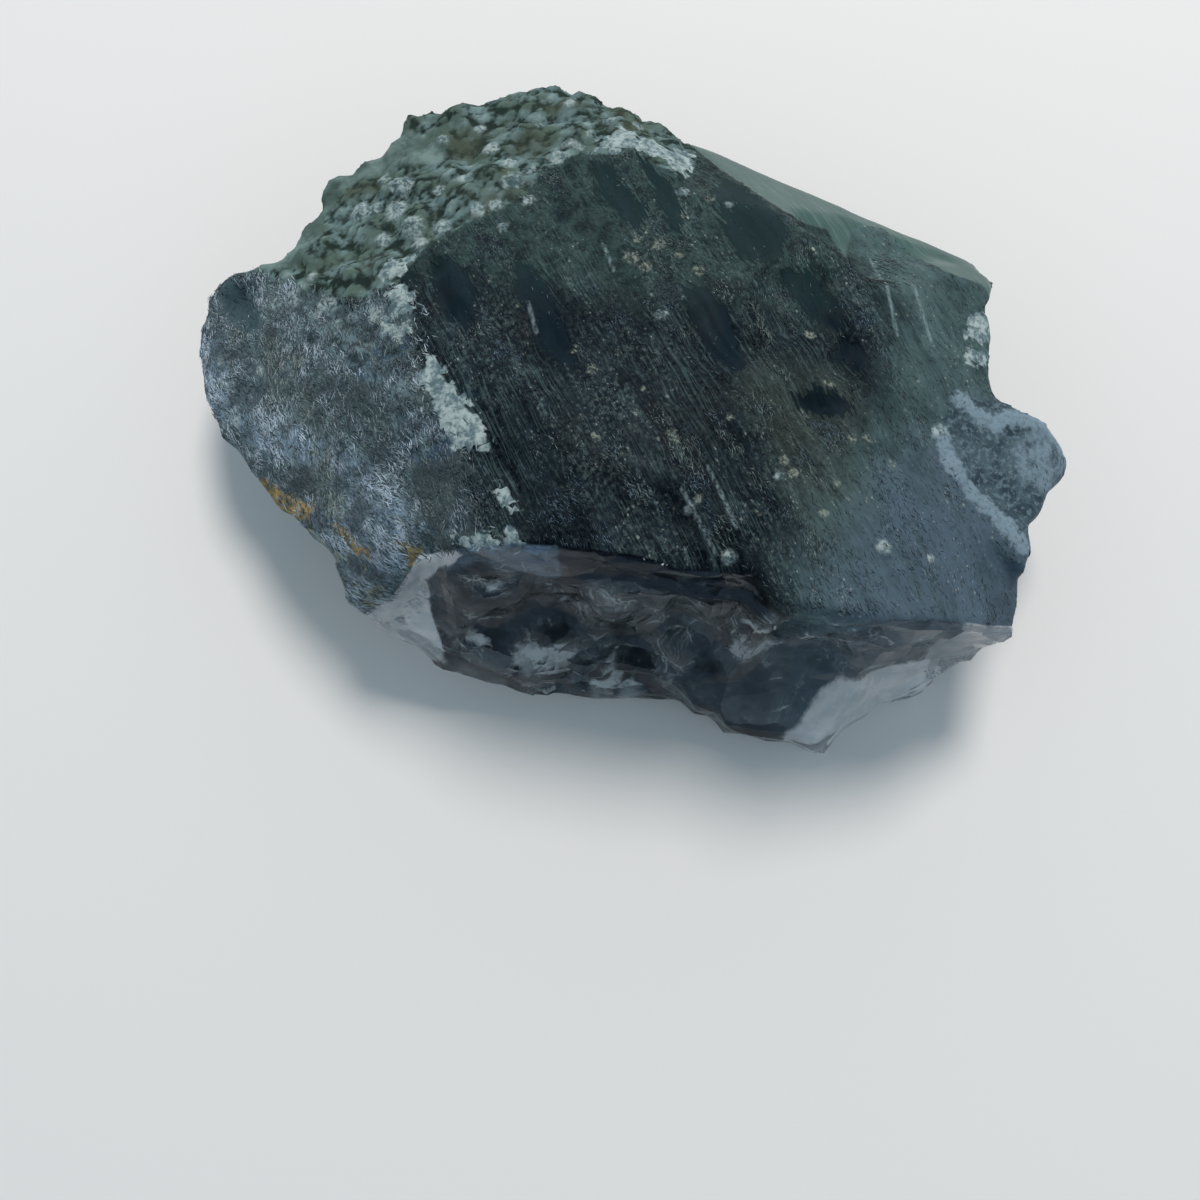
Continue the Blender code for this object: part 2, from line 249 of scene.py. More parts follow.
# Where things are on the stone, seen from above, in mm.
stonePlan = {
    "crust": [
        (-27, 9), (-22.5, 6.4), (-19.6, 4.8), (-17, 4.4), (-15, 5.4), (-13.2, 8), (-12, 9.2),
        (-9.4, 10.4), (-6.6, 12.8), (-4.8, 15.4), (-2.6, 16.2), (0.6, 16.2), (2.6, 14.8), (4, 14),
        (5, 16.4), (5.2, 19.6), (5.6, 22), (0, 34), (-30, 34), (-34, 12),
    ],
    "felt": [
        (-14, 4), (-13.6, 1), (-13.4, -1.6), (-11.4, -5.5), (-10.2, -7), (-9.8, -9.6), (-9.2, -12.4),
        (-12.4, -13), (-14.2, -14.2), (-19, -18), (-36, -14), (-36, 12), (-28.4, 9.4), (-22.5, 6.8),
        (-18, 4.2), (-15.4, 4.2),
    ],
    "crystal": [
        (5, 19.8), (7, 16.3), (9.3, 13.3), (11, 11.3), (12.9, 11.2), (14.1, 11.2), (14.7, 10.1),
        (15, 8.1), (16.1, 11.8), (17.4, 12.6), (18.8, 12.8), (19.2, 11.4), (20.5, 9.9), (22, 7.8),
        (24.4, 7.1), (25.3, 6.2), (40, 5), (40, 40), (5, 40),
    ],
    "eastHaze": [
        (13, 30), (14.6, 9.6), (16.6, 8.4), (17.4, 2), (17.2, -2), (14, -6), (11.4, -11), (10.8, -15),
        (11.4, -30), (40, -30), (40, 30),
    ],
    "purple": [(11, -30), (12, -14), (15, -9.5), (19, -5.5), (24, -3), (40, -3), (40, -30)],
    "northGreen": [(-40, 40), (-40, 9), (-12, 6), (0, 4), (12, 3), (18, 8), (30, 12), (30, 40)],
    "chip": [
        (21.7, -2.2), (22.5, -1.7), (23.8, -2), (25.5, -1.6), (28, -2.4), (32, -4), (31, -9),
        (27.6, -12.6), (25.6, -12.4), (24.2, -11.4), (22.7, -9.8), (21.8, -8.6), (20.7, -7.2),
        (19.9, -5.5), (20.2, -4.6), (20.8, -3.5),
    ],
    "chipPale": [(25.4, -5.5), (27.6, -3), (32, -4.5), (30, -7.5), (27, -8.2), (26, -6.8)],
    "northwestWall": [
        (-25.6, 8.6), (-22.6, 8.2), (-21.6, 10), (-21.4, 12.6), (-20.6, 14.6), (-19.6, 15.8),
        (-17.4, 16.6), (-13.8, 16.2), (-12.6, 17), (-13.6, 18.6), (-18, 22), (-28, 14),
    ],
    "pit": [
        (-28.8, 8.2), (-27.6, 8.9), (-26.6, 7.1), (-25, 5), (-24.8, 4), (-26.4, 3.9), (-28.3, 5.8),
        (-29, 7),
    ],
    "olive": [
        (7, -1.6), (10.1, -0.5), (12.9, -0.7), (15, -2.5), (15.6, -5), (14.8, -8.2), (15.6, -11.1),
        (14.5, -13.8), (11.8, -13.8), (10.1, -9.7), (8.4, -6.2), (7.3, -3.9),
    ],
}
rustPatches = [
    [(-24.6, -6.6), (-22.9, -7.7), (-21.5, -8.4), (-20.2, -9.3), (-20.6, -10.2), (-22, -10),
     (-24.4, -8.4)],
    [(-18.8, -10.5), (-17.8, -10.9), (-17, -11.9), (-15.9, -12.3), (-16.3, -12.9), (-17.5, -12.5),
     (-18.2, -11.6)],
    [(-14.6, -12), (-13.2, -12.3), (-12.4, -12.8), (-13.2, -13.5), (-13.8, -13.7), (-13.8, -12.9)],
]
ochrePatches = [
    [(-20.6, -9.9), (-18.6, -11), (-16.4, -12.8), (-15.6, -14.6), (-17, -16.2), (-20, -16), (-22, -11)],
]
feltTones = {
    "paleFelt": [
        [(-29.6, 3.8), (-28, 3.5), (-27.3, 1.1), (-26.2, -1.9), (-28.4, -2.6), (-31, 0)],
        [(-26.8, -2.3), (-23.2, -3), (-19.8, -5.3), (-18.5, -6.6), (-21.3, -6.4), (-24.8, -4.9)],
        [(-19.6, -5.8), (-16.5, -7), (-13.6, -9.7), (-12.3, -11.9), (-14.6, -12.3), (-16.5, -10.2),
         (-19, -8)],
        [(-23.4, -8.1), (-19.9, -9.5), (-16.5, -11), (-13.7, -12.7), (-15.6, -15.3), (-19.3, -13.5),
         (-22, -9.6)],
    ],
    "darkFelt": [
        [(-20.3, -0.6), (-15.8, -1.7), (-13.5, -4.7), (-14.6, -6.8), (-17, -5.8), (-19, -3.7)],
        [(-13.7, -6.7), (-10.1, -6.8), (-7.9, -9.6), (-8.5, -12), (-11.3, -11.5), (-13.4, -9.1)],
        [(-24.8, -5.8), (-20.1, -6.6), (-18.8, -8.3), (-21, -8.7), (-23.6, -7.6)],
    ],
    "deepBlue": [
        [(-18, 0.6), (-16.5, 0.8), (-14, 1), (-13.6, -1.2), (-14.7, -2), (-16.6, -1.4), (-18.2, -0.6)],
        [(-14.2, -4), (-11.8, -4.8), (-10.4, -6.8), (-11.4, -8), (-13.2, -7.4), (-14.4, -5.8)],
    ],
    "smoothFelt": [
        [(-28.6, 3.6), (-23.6, 2.8), (-21.6, 0.5), (-23.3, -1.6), (-26, -2), (-27.7, -0.3)],
    ],
}
smoothWindows = [
    [(-13, 6.9), (-11.7, 7.2), (-10.2, 6), (-9.5, 4.4), (-9.6, 1.4), (-10, 0.3), (-10.9, 1.8),
     (-12.4, 3.4)],
    [(-7.3, 7.1), (-5.7, 6.3), (-4.8, 4.7), (-4, 2.5), (-3.1, 0.5), (-3, -1.9), (-4.3, -1.2),
     (-5.5, 0.6), (-6.6, 2.7), (-7.2, 4.7)],
    [(-2.2, 15.5), (-1, 15.4), (0.1, 13.4), (1.6, 11.4), (1.2, 9), (0, 10), (-1.2, 11), (-2, 13.1)],
    [(0.9, 16.3), (2.1, 14.6), (3.6, 13.2), (3.9, 11.2), (4, 9), (3, 9), (2.2, 11.2), (1.4, 14)],
    [(6.9, 15.9), (9.2, 12.9), (10.6, 10.8), (10.8, 8), (10.4, 6.7), (9.2, 6.2), (7.2, 7), (6.4, 9.6),
     (5.9, 12.9)],
    [(10.2, 6.2), (12.1, 6.3), (13.8, 5), (14.5, 3.1), (14.4, 1.6), (12.6, 2.2), (11.2, 3.9), (10, 5)],
    [(14, 2), (15.7, 0.9), (16.1, -0.5), (14.7, -1.3), (13.8, 0.4)],
    [(3.9, 4.6), (5.5, 4.4), (6.8, 2.6), (7.3, 0.2), (7.9, -1.6), (6.6, -2.7), (5.7, -1.2), (4.6, 0.9),
     (3.6, 2.6)],
    [(10.3, -3.2), (12, -2.3), (13.2, -2.5), (14.6, -3.5), (14.4, -4.3), (12.7, -4.5), (11.2, -4.1)],
    [(-15.1, 6.1), (-14, 6.6), (-13.3, 5), (-14.4, 5)],
]
whitePatches = [
    [(-13.5, -1.7), (-12.6, -1.3), (-12.7, -0.4), (-11.8, -0.9), (-11, -2.2), (-10.4, -2.9),
     (-9.6, -4.3), (-9, -4.9), (-8.2, -5.9), (-8.2, -7.3), (-10.3, -6.9), (-11.4, -5.5), (-12.2, -3.7)],
    [(-8, -9.4), (-7.4, -9.3), (-6.7, -10.4), (-6.1, -11.6), (-6.6, -11.6), (-7.3, -10.4)],
    [(-7.3, -11.9), (-6.3, -12.4), (-6, -13.2), (-6.9, -13.3), (-7.4, -12.5)],
    [(-10.6, -12.2), (-9.1, -12.3), (-7.8, -12.6), (-7.4, -13.4), (-8.8, -13.2), (-10.2, -12.8)],
    [(-15.4, 5.4), (-16.1, 6.2), (-15.6, 7.1), (-14.8, 7.3), (-14, 7.6), (-13.8, 7), (-14.7, 6.4)],
    [(-15.5, 4.6), (-14.6, 4.9), (-13.8, 4.2), (-13.5, 2.8), (-14.2, 2.1), (-15, 2.7)],
    [(-16.2, 2.8), (-14.9, 2.2), (-13.9, 1.9), (-13.8, 1), (-14.7, 0.7), (-15.5, 1.5)],
    [(-1.9, 17.7), (-0.4, 19), (1.1, 17.8), (2.2, 17.2), (3.8, 18.3), (5, 18.8), (4.9, 16.8),
     (4.1, 14.2), (3.6, 14.3), (2.8, 15.3), (1.5, 16.4), (0, 16.3), (-1.8, 16.4)],
    [(23.7, 4.6), (24.8, 4.7), (25, 3.1), (23.9, 2.3), (23, 2.7)],
    [(22.6, 1.5), (23.8, 2), (24.8, 1.6), (23.8, 0.5), (22.8, 0.8)],
]
# Rounded pale lumps: x, y, radius.
paleLumps = [
    (-18.7, 12.8, 0.75), (-17.5, 12.7, 0.6), (-15.6, 14.4, 0.95), (-15.8, 12.2, 0.85),
    (-14.3, 10.1, 0.85), (-13.8, 8.7, 0.6), (-16.4, 9.6, 0.6), (-12.3, 9.9, 0.7), (-8.7, 11.6, 0.45),
    (-6.5, 12, 0.4), (-9.9, 11.1, 0.5), (-7.6, 13.7, 0.7), (-7.9, 15.5, 0.5), (-6.5, 14.8, 0.4),
    (-9.4, 17.2, 0.55), (-12.9, 18.3, 0.4), (-4.6, 15.9, 0.65), (-3.9, 17.3, 0.45), (-3, 17, 0.35),
    (-3.9, 21.5, 0.4), (-6.1, 19.5, 0.3), (-2.4, 18.2, 0.3), (-8.1, 9.5, 0.35), (-21.3, 7.1, 0.4),
    (-22.5, 5.6, 0.7), (-23.9, 5.7, 0.5), (-20, 4.4, 0.85), (-20.8, 3.5, 0.6), (-19, 2.8, 0.5),
    (-16.2, 3.2, 0.5), (4, 12.6, 0.35), (2.3, 2.3, 0.35), (7, 11.6, 0.25), (15.8, -12.9, 0.42),
    (18.8, -13.4, 0.22), (3.9, -11.2, 0.28), (9.4, -8.8, 0.25), (6.1, -14.2, 0.4), (20.3, -4.7, 0.5),
    (-17.2, 15.6, 0.5), (-11, 14.2, 0.5), (-12.8, 13.4, 0.45), (-10.4, 19.6, 0.4), (-1.2, 19.8, 0.5),
    (1, 20.2, 0.45), (-24.8, 0.6, 0.35), (-27.8, 0.2, 0.5), (-28.2, 2, 0.4), (-26.6, -2.6, 0.35),
]
blueLumps = [
    (-22, 5.5, 0.8), (-19.6, 4.1, 1), (-20.8, 2.8, 0.9), (-18.2, 2.3, 1.1), (-16, 2.1, 1.1),
    (-15, 4.2, 1.1), (-14.2, 3, 0.8), (-15.2, 1, 1), (-17.3, 0.2, 1.1), (-15.8, -1, 1),
    (-14.4, -0.9, 0.9), (-14.5, -2.4, 0.9), (-13.7, -3.7, 0.9), (-17, 3.5, 0.8), (-18.9, 1.4, 0.8),
    (-12.6, -6.4, 0.9),
]
creamFlecks = [
    (-3.1, -0.4, 0.35), (-1.9, -1.9, 0.35), (2.9, -6.7, 0.4), (9.8, -7.8, 0.3), (10.2, -8.6, 0.3),
    (4.3, -10.6, 0.3), (12, -11.1, 0.3), (14.2, -5.9, 0.25), (15.3, -5.7, 0.3), (12.9, -2.1, 0.25),
    (11.2, -4.2, 0.3), (-1.7, -6.8, 0.2), (0.5, 6.9, 0.5), (1.5, 6.1, 0.4), (4.9, 5.8, 0.4),
    (2.3, 7.9, 0.4), (6.9, 9.9, 0.3), (5.8, 12, 0.35), (3.8, 10.6, 0.3), (12, 1.6, 0.3), (0.9, 8.6, 0.3),
    (3.6, 7, 0.25), (-0.4, -0.6, 0.2), (6.4, -5.2, 0.25), (8, -11.4, 0.25), (13.2, -9, 0.25),
    (1.2, -3.4, 0.2), (16.8, -7.4, 0.25),
]
brownHollows = [
    (-11.3, 18.2, 1.6), (-6.6, 17.4, 1.4), (-19.4, 15.2, 0.7), (-17.6, 15, 0.6), (-12.6, 6.4, 1),
]
paleVeins = [
    [(20.3, -5), (20.9, -6.9), (22, -8.1), (23.2, -9.4), (24.5, -10.6), (25.6, -12)],
    [(21.9, -2), (23.3, -3.1), (24.3, -3.7), (25.6, -3), (27.1, -3.2), (29.4, -4.4)],
]
longScratches = [
    [(17.1, 9.1), (17.5, 5.5), (17.9, 2)],
    [(19.4, 6.3), (20.3, 1.9)],
    [(-1.4, 8.1), (-0.7, 5.8)],
    [(-6.2, 3.4), (-5.6, 1.2)],
    [(3.4, -10), (5.4, -14)],
    [(5, -8.6), (6.6, -12.4)],
]

# In the clear band, seen from the south: x and height.
bandPlan = {
    "frost": [
        (-9.9, 14.2), (-12.7, 10.7), (-12.8, 8.9), (-12.5, 6.8), (-12.2, 4.8), (-11.4, 4), (-10, 3.2),
        (-9, -6), (-40, -6), (-40, 18), (-14, 16),
    ],
    "lip": [
        (11, 1.4), (12.2, 4.2), (13.4, 6), (14.6, 6.8), (17.2, 6.2), (20.7, 5), (22.4, 4), (26, 2),
        (26, -6), (10.6, -6),
    ],
    "southeastFacet": [(20.4, 5), (20.8, 12.6), (22.8, 12), (25.6, 10.6), (30, 8), (30, -4), (21, -4)],
    "darkStrip": [
        (-4.1, 19.5), (-0.1, 20), (3.4, 20), (8.8, 20), (8.6, 13.9), (7.4, 12.5), (6.2, 11.7),
        (4.6, 13.2), (2.4, 13.4), (-0.1, 13.6), (-3.7, 13.9),
    ],
    "veined": [
        (-14, 14), (-10.5, 18), (-7.5, 19), (-3.9, 19.4), (-3.7, 13.9), (-5.3, 13.3), (-7.5, 13.9),
        (-9.3, 13.8), (-12, 11.5), (-13.3, 10.6),
    ],
}
whiteVeils = [
    [(-7.8, 5.8), (-6.6, 6.8), (-5.6, 6.3), (-3.5, 6.1), (-3.1, 5.4), (-4.9, 4.7), (-6.5, 4.4),
     (-7.9, 5)],
    [(-11, 7.3), (-10, 7.1), (-9.3, 6.5), (-10, 6.1), (-10.9, 6.4)],
    [(-2.3, 2.9), (-0.5, 5.9), (-1.1, 1.6), (-1.9, 1.4)],
    [(-0.6, 3.3), (0.7, 3.8), (1.7, 2.8), (1, 1.3), (-0.2, 1.5)],
    [(-8.8, 11.7), (-8, 12.1), (-8, 11.2), (-8.6, 11.1)],
    [(7.6, 8.2), (8.6, 9.2), (10.4, 9.6), (9.4, 8.4), (8, 7.6)],
    [(8.2, 11.2), (9.4, 12.4), (10.6, 12.6), (9.6, 11.4)],
]
warmSpots = [
    [(-5.4, 2.7), (-4.2, 2.5), (-3.6, 1.5), (-4.7, 1.4)],
]

# The ridge along the top of the clear band: place and height.
ridgeLine = [
    (-21.5, -15.6, 3), (-18.6, -16.2, 5.4), (-15.2, -14.9, 9.4), (-12.8, -13, 12.7), (-9.4, -13.1, 14.6),
    (-4.6, -13.4, 16.6), (0.6, -14, 16.9), (3.2, -14.8, 16.9), (7.4, -15, 16.9), (8.6, -16.3, 16.7),
    (10, -17.5, 16.4), (14, -17.5, 15.6), (19, -17.3, 14.2), (23, -17.1, 12.4), (28, -16.6, 10),
]


def circleDepth(places, circles):
    x, y = places[:, :2].T / mm
    return np.max([radius - np.hypot(x - cx, y - cy) for cx, cy, radius in circles], axis=0)


def deepest(places, outlines):
    return np.max([insideBy(places, outline) for outline in outlines], axis=0)


def ridgeAt(places):
    # the ridge's y and z beside each place, in mm
    x = places[:, 0] / mm
    line = np.array(ridgeLine)
    return np.interp(x, line[:, 0], line[:, 1]), np.interp(x, line[:, 0], line[:, 2])


patchGroups = {
    "window": smoothWindows, "white": whitePatches, "rust": rustPatches, "ochre": ochrePatches, **feltTones,
}
circleGroups = {"lump": paleLumps, "blueLump": blueLumps, "cream": creamFlecks, "brown": brownHollows}
lineGroups = {"vein": (paleVeins, 0.55), "scratch": (longScratches, 0.1)}  # each with half its width
glassShift = {"lean": 0.41, "most": 1.8}  # how far the clear band moves what is under it


def distances(places):
    found = {name: insideBy(places, outline) for name, outline in stonePlan.items()}
    for name, outlines in patchGroups.items():
        found[name] = deepest(places, outlines)
    for name, circles in circleGroups.items():
        found[name] = circleDepth(places, circles)
    for name, (lines, halfWidth) in lineGroups.items():
        found[name] = halfWidth - np.min([nearLine(places, line) for line in lines], axis=0)
    return found


def bandDistances(places):
    # a place under the clear band is marked where the eye finds it through the surface
    ridgeY, ridgeZ = ridgeAt(places)
    seen = places.copy()
    lean = glassShift["lean"] * (ridgeZ - places[:, 2] / mm)
    seen[:, 1] = places[:, 2] + np.clip(lean, 0, glassShift["most"]) * mm
    found = {name: insideBy(seen, outline) for name, outline in bandPlan.items()}
    found["veil"] = deepest(seen, whiteVeils)
    found["warm"] = deepest(seen, warmSpots)
    found["core"] = ridgeY - places[:, 1] / mm
    return found


# The stone's fine surface.
skin = {
    "voxel": 0.27,
    "smoothing": 5,
    "crustGrain": 1.35,
    "crustGrainFine": 0.55,
    "fineGrainShare": 0.4,
    "crustWander": 0.7,
    "crustWanderWidth": 1.6,
    "crustHeight": 0.3,
    "lumpHeight": 0.26,
    "hollowDepth": 0.35,
    "feltRidge": 0.06,
    "feltWidth": 0.45,
    "feltLength": 1.8,
    "feltBend": 0.6,
    "feltBendWidth": 4.0,
    "fibreBearing": 150,
    "whiteProud": 0.17,
    "windowSunk": 0.05,
    "veinProud": 0.1,
    "breakFacets": 0.24,  # flat facets that meet in sharp edges, where the quartz is broken
    "breakWidth": 4.2,
    "topGrain": 0.035,
}


def smoothed(obj, rounds):
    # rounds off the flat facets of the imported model, but keeps its sharp edges
    bm = bmesh.new()
    bm.from_mesh(obj.data)
    for _ in range(rounds):
        bm.normal_update()
        soft = [v for v in bm.verts if v.calc_shell_factor() < 1.06]
        bmesh.ops.smooth_vert(bm, verts=soft, factor=0.5, use_axis_x=True, use_axis_y=True, use_axis_z=True)
    bm.to_mesh(obj.data)
    bm.free()


def lumpsAt(places, width):
    # rounded lumps between narrow cracks, from 0 in a crack to 1 on a top
    found = np.empty(len(places))
    for index, place in enumerate(places):
        near, second = noise.voronoi(Vector(place) / (width * mm))[0][:2]
        found[index] = min((second - near) / 0.5, 1) * 0.6 + max(0, 1 - near / 0.7) * 0.4
    return found


def facetsAt(places, width):
    return np.array([
        noise.voronoi(Vector(place) / (width * mm), distance_metric="MANHATTAN")[0][0] for place in places
    ])


def alongFibres(places, length, width):
    bearing = math.radians(skin["fibreBearing"])
    bend = noiseAt(places, skin["feltBendWidth"]) * skin["feltBend"] * mm
    along = places[:, 0] * math.sin(bearing) + places[:, 1] * math.cos(bearing)
    across = places[:, 0] * math.cos(bearing) - places[:, 1] * math.sin(bearing) + bend
    return noiseAt(np.stack((along / length, across / width, places[:, 2] / length), axis=1), 1.0, 2)


def crustLumps(places):
    width = skin["crustWanderWidth"]
    drift = np.stack([noiseAt(places + apart * mm, width) for apart in (0, 40, 80)], axis=1)
    shaken = places + drift * skin["crustWander"] * mm
    share = skin["fineGrainShare"]
    fine = lumpsAt(shaken, skin["crustGrainFine"])
    return (1 - share) * lumpsAt(shaken, skin["crustGrain"]) + share * fine


# Where each feature's height starts and is full, in mm inside its outline, then how far its edge is
# shaken and how wide the shakes are.
reliefEdges = {
    "crust": (-0.2, 0.5, 0, 1), "crystal": (0.0, 0.4, 0, 1),
    "felt": (-0.5, 0.8, 0, 1), "window": (-0.3, 0.6, 0, 1), "brown": (-0.3, 0.9, 0, 1),
    "white": (-0.05, 0.15, 0.35, 0.8), "vein": (-0.1, 0.25, 0.2, 0.7), "lump": (-0.1, 0.6, 0.12, 0.5),
    "blueLump": (-0.1, 0.8, 0.3, 0.7),
}
steepness = {"crust": (-0.4, 0.1), "crystal": (-0.2, 0.2)}  # the other features lie on the top
topFrom, topFull = 0.1, 0.5


def fineHeight(places, outward, lumps):
    found = distances(places)
    on = {}
    for name, (low, high, shake, width) in reliefEdges.items():
        edge = found[name] + shake * noiseAt(places, width) if shake else found[name]
        on[name] = step(edge, low, high) * step(outward[:, 2], *steepness.get(name, (topFrom, topFull)))
    upward = step(outward[:, 2], topFrom, topFull)
    crust = on["crust"] * (1 - 0.8 * step(found["northwestWall"], -0.2, 0.5))
    bare = 1 - crust
    height = crust * skin["crustHeight"] * (lumps - 0.45)
    hair = alongFibres(places, skin["feltLength"], skin["feltWidth"])
    height += on["felt"] * bare * skin["feltRidge"] * hair
    facets = facetsAt(places, skin["breakWidth"]) + 0.4 * facetsAt(places, skin["breakWidth"] * 0.4) - 0.9
    height += (1 - upward) * bare * skin["breakFacets"] * facets
    height += upward * skin["topGrain"] * noiseAt(places, 0.7, 2)
    height *= (1 - on["window"]) * (1 - on["crystal"])
    height += on["white"] * skin["whiteProud"] * (1 - 0.5 * crust) + on["vein"] * skin["veinProud"]
    height += np.maximum(on["lump"], 0.8 * on["blueLump"]) * skin["lumpHeight"]
    return height - on["brown"] * skin["hollowDepth"] - on["window"] * skin["windowSunk"]


def stoneCopy(name):
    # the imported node's mesh is loose triangles, so the copy is merged first
    bm = bmesh.new()
    bm.from_mesh(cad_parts[nodeName].data)
    bmesh.ops.remove_doubles(bm, verts=bm.verts, dist=1e-6)
    return fromBmesh(bm, name)


def prism(name, outline, low, high):
    # a block with the given outline, seen from above, in mm
    bm = bmesh.new()
    base = bm.faces.new([bm.verts.new(Vector((x, y, low)) * mm) for x, y in outline])
    raised = bmesh.ops.extrude_face_region(bm, geom=[base])["geom"]
    tops = [v for v in raised if isinstance(v, bmesh.types.BMVert)]
    bmesh.ops.translate(bm, verts=tops, vec=(0, 0, (high - low) * mm))
    bmesh.ops.triangulate(bm, faces=bm.faces)
    bmesh.ops.recalc_face_normals(bm, faces=bm.faces)
    block = fromBmesh(bm, name)
    block.hide_render = True
    return block


def southOfRidge(name, setBack):
    # everything south of the ridge; setBack moves its north face north
    outline = [(-45, ridgeLine[0][1] + setBack)]
    outline += [(x, y + setBack) for x, y, z in ridgeLine]
    outline += [(45, ridgeLine[-1][1] + setBack), (45, -45), (-45, -45)]
    return prism(name, outline, -3.0, 26.0)  # from under the floor to well above the stone


def withSkin(obj, rounds):
    voxelled(obj, skin["voxel"])
    smoothed(obj, rounds)
    places, outward = points(obj), normals(obj)
    lumps = crustLumps(places)
    return places, outward, fineHeight(places, outward, lumps), lumps


# The fibre-filled stone. South of the ridge it lies back under the clear band.
fibrousShape = {
    "layBack": 2.0,
    "layBackLow": 1.1,
    "layBackFrom": 6,  # mm south of the middle
    "layBackFull": 11,
    "riseTo": 5,
    "sunk": 0.3,
    "ridgeGap": -0.15,
}


def makeFibrousStone():
    stone = stoneCopy("fibrousStone")
    cleared = southOfRidge("clearedSpace", fibrousShape["ridgeGap"])
    core = stoneCopy("core")
    places = points(core)
    share = step(-places[:, 1] / mm, fibrousShape["layBackFrom"], fibrousShape["layBackFull"])
    rise = step(places[:, 2] / mm, 0, fibrousShape["riseTo"])
    back = fibrousShape["layBackLow"] * (1 - rise) + fibrousShape["layBack"] * rise
    places[:, 1] += share * back * mm
    places[:, 2] -= fibrousShape["sunk"] * mm
    putPoints(core, places)
    combined(cleared, core, "DIFFERENCE")
    combined(stone, cleared, "DIFFERENCE")
    for helper in (cleared, core):
        bpy.data.objects.remove(helper)
    places, outward, height, lumps = withSkin(stone, skin["smoothing"])
    setPoints(stone, places + outward * (height * mm)[:, None])
    setAttribute(stone, "grainTop", lumps)
    places = points(stone)
    for name, values in {**distances(places), **bandDistances(places)}.items():
        setAttribute(stone, name, np.clip(values, -4, 4))
    print("fibrous stone:", len(stone.data.polygons), "faces")
    return stone


# The clear band along the south side, in flat broken facets.
clearShape = {"overlap": 2.2, "sunkUnderStone": 0.26, "smoothing": 1, "facetShare": 0.05}


def makeClearQuartz():
    clear = stoneCopy("clearQuartz")
    band = southOfRidge("southBand", clearShape["overlap"])
    combined(clear, band, "INTERSECT")
    bpy.data.objects.remove(band)
    places, outward, height, _ = withSkin(clear, clearShape["smoothing"])
    # under the fibrous stone it lies a little deeper, so that only the stone shows there
    ridgeY, _ = ridgeAt(places)
    height -= step(places[:, 1] / mm - ridgeY, -0.1, 0.15) * clearShape["sunkUnderStone"]
    setPoints(clear, places + outward * (height * mm)[:, None])
    facets = clear.modifiers.new("flatFacets", "DECIMATE")
    facets.ratio = clearShape["facetShare"]
    applyAll(clear)
    places = points(clear)
    setPoints(clear, places)
    setAttribute(clear, "frost", np.clip(bandDistances(places)["frost"], -4, 4))
    print("clear quartz:", len(clear.data.polygons), "faces")
    return clear


# Fine needles of riebeckite that lie on the stone.
needleKinds = {
    "blueFelt": {
        "count": 14500, "seed": 11, "length": (0.3, 0.95), "width": (0.035, 0.08), "rings": 3,
        "spread": 22, "crossing": 0.4, "crossSpread": 50, "swirl": 45, "bend": 0.2,
        # thinned where other things are: the share that goes, and where that starts and is full, in mm
        "thinned": {
            "crust": (1.0, -0.2, 0.6), "window": (0.97, -0.1, 0.2), "white": (0.95, -0.1, 0.2),
            "lump": (0.9, -0.1, 0.2), "pit": (0.97, -0.5, 0.2), "rust": (0.95, -0.1, 0.3),
            "blueLump": (0.6, -0.2, 0.5),
        },
    },
    "paleDust": {
        "count": 26000, "seed": 23, "length": (0.2, 0.65), "width": (0.028, 0.055), "rings": 2,
        "spread": 16, "crossing": 0.35, "crossSpread": 50, "swirl": 35, "bend": 0.0,
        "thinned": {
            "felt": (0.8, -0.5, 1.5), "crust": (1.0, -0.4, 0.4), "window": (0.93, -0.5, 0.3),
            "white": (1.0, -0.1, 0.1), "crystal": (1.0, -0.2, 0.1), "chip": (0.85, -0.1, 0.3),
            "eastHaze": (0.62, -2.0, 3.0),
        },
    },
}
needleSwirl = 5.0  # mm across one swirl
needleShift = 0.15  # mm that a needle lies off its seat
needleTip = 0.05  # how steeply one end rises


def needleShape(rings):
    # one slender three-sided needle along x, one unit long and wide
    bm = bmesh.new()
    bmesh.ops.create_uvsphere(bm, u_segments=3, v_segments=rings, radius=0.5)
    bmesh.ops.rotate(bm, verts=bm.verts, cent=(0, 0, 0), matrix=Matrix.Rotation(math.pi / 2, 3, "Y"))
    bmesh.ops.triangulate(bm, faces=bm.faces)
    bmesh.ops.recalc_face_normals(bm, faces=bm.faces)
    mesh = bpy.data.meshes.new("needle")
    bm.to_mesh(mesh)
    bm.free()
    corners = np.array([v.co for v in mesh.vertices])
    faces = np.array([p.vertices[:] for p in mesh.polygons])
    bpy.data.meshes.remove(mesh)
    return corners, faces


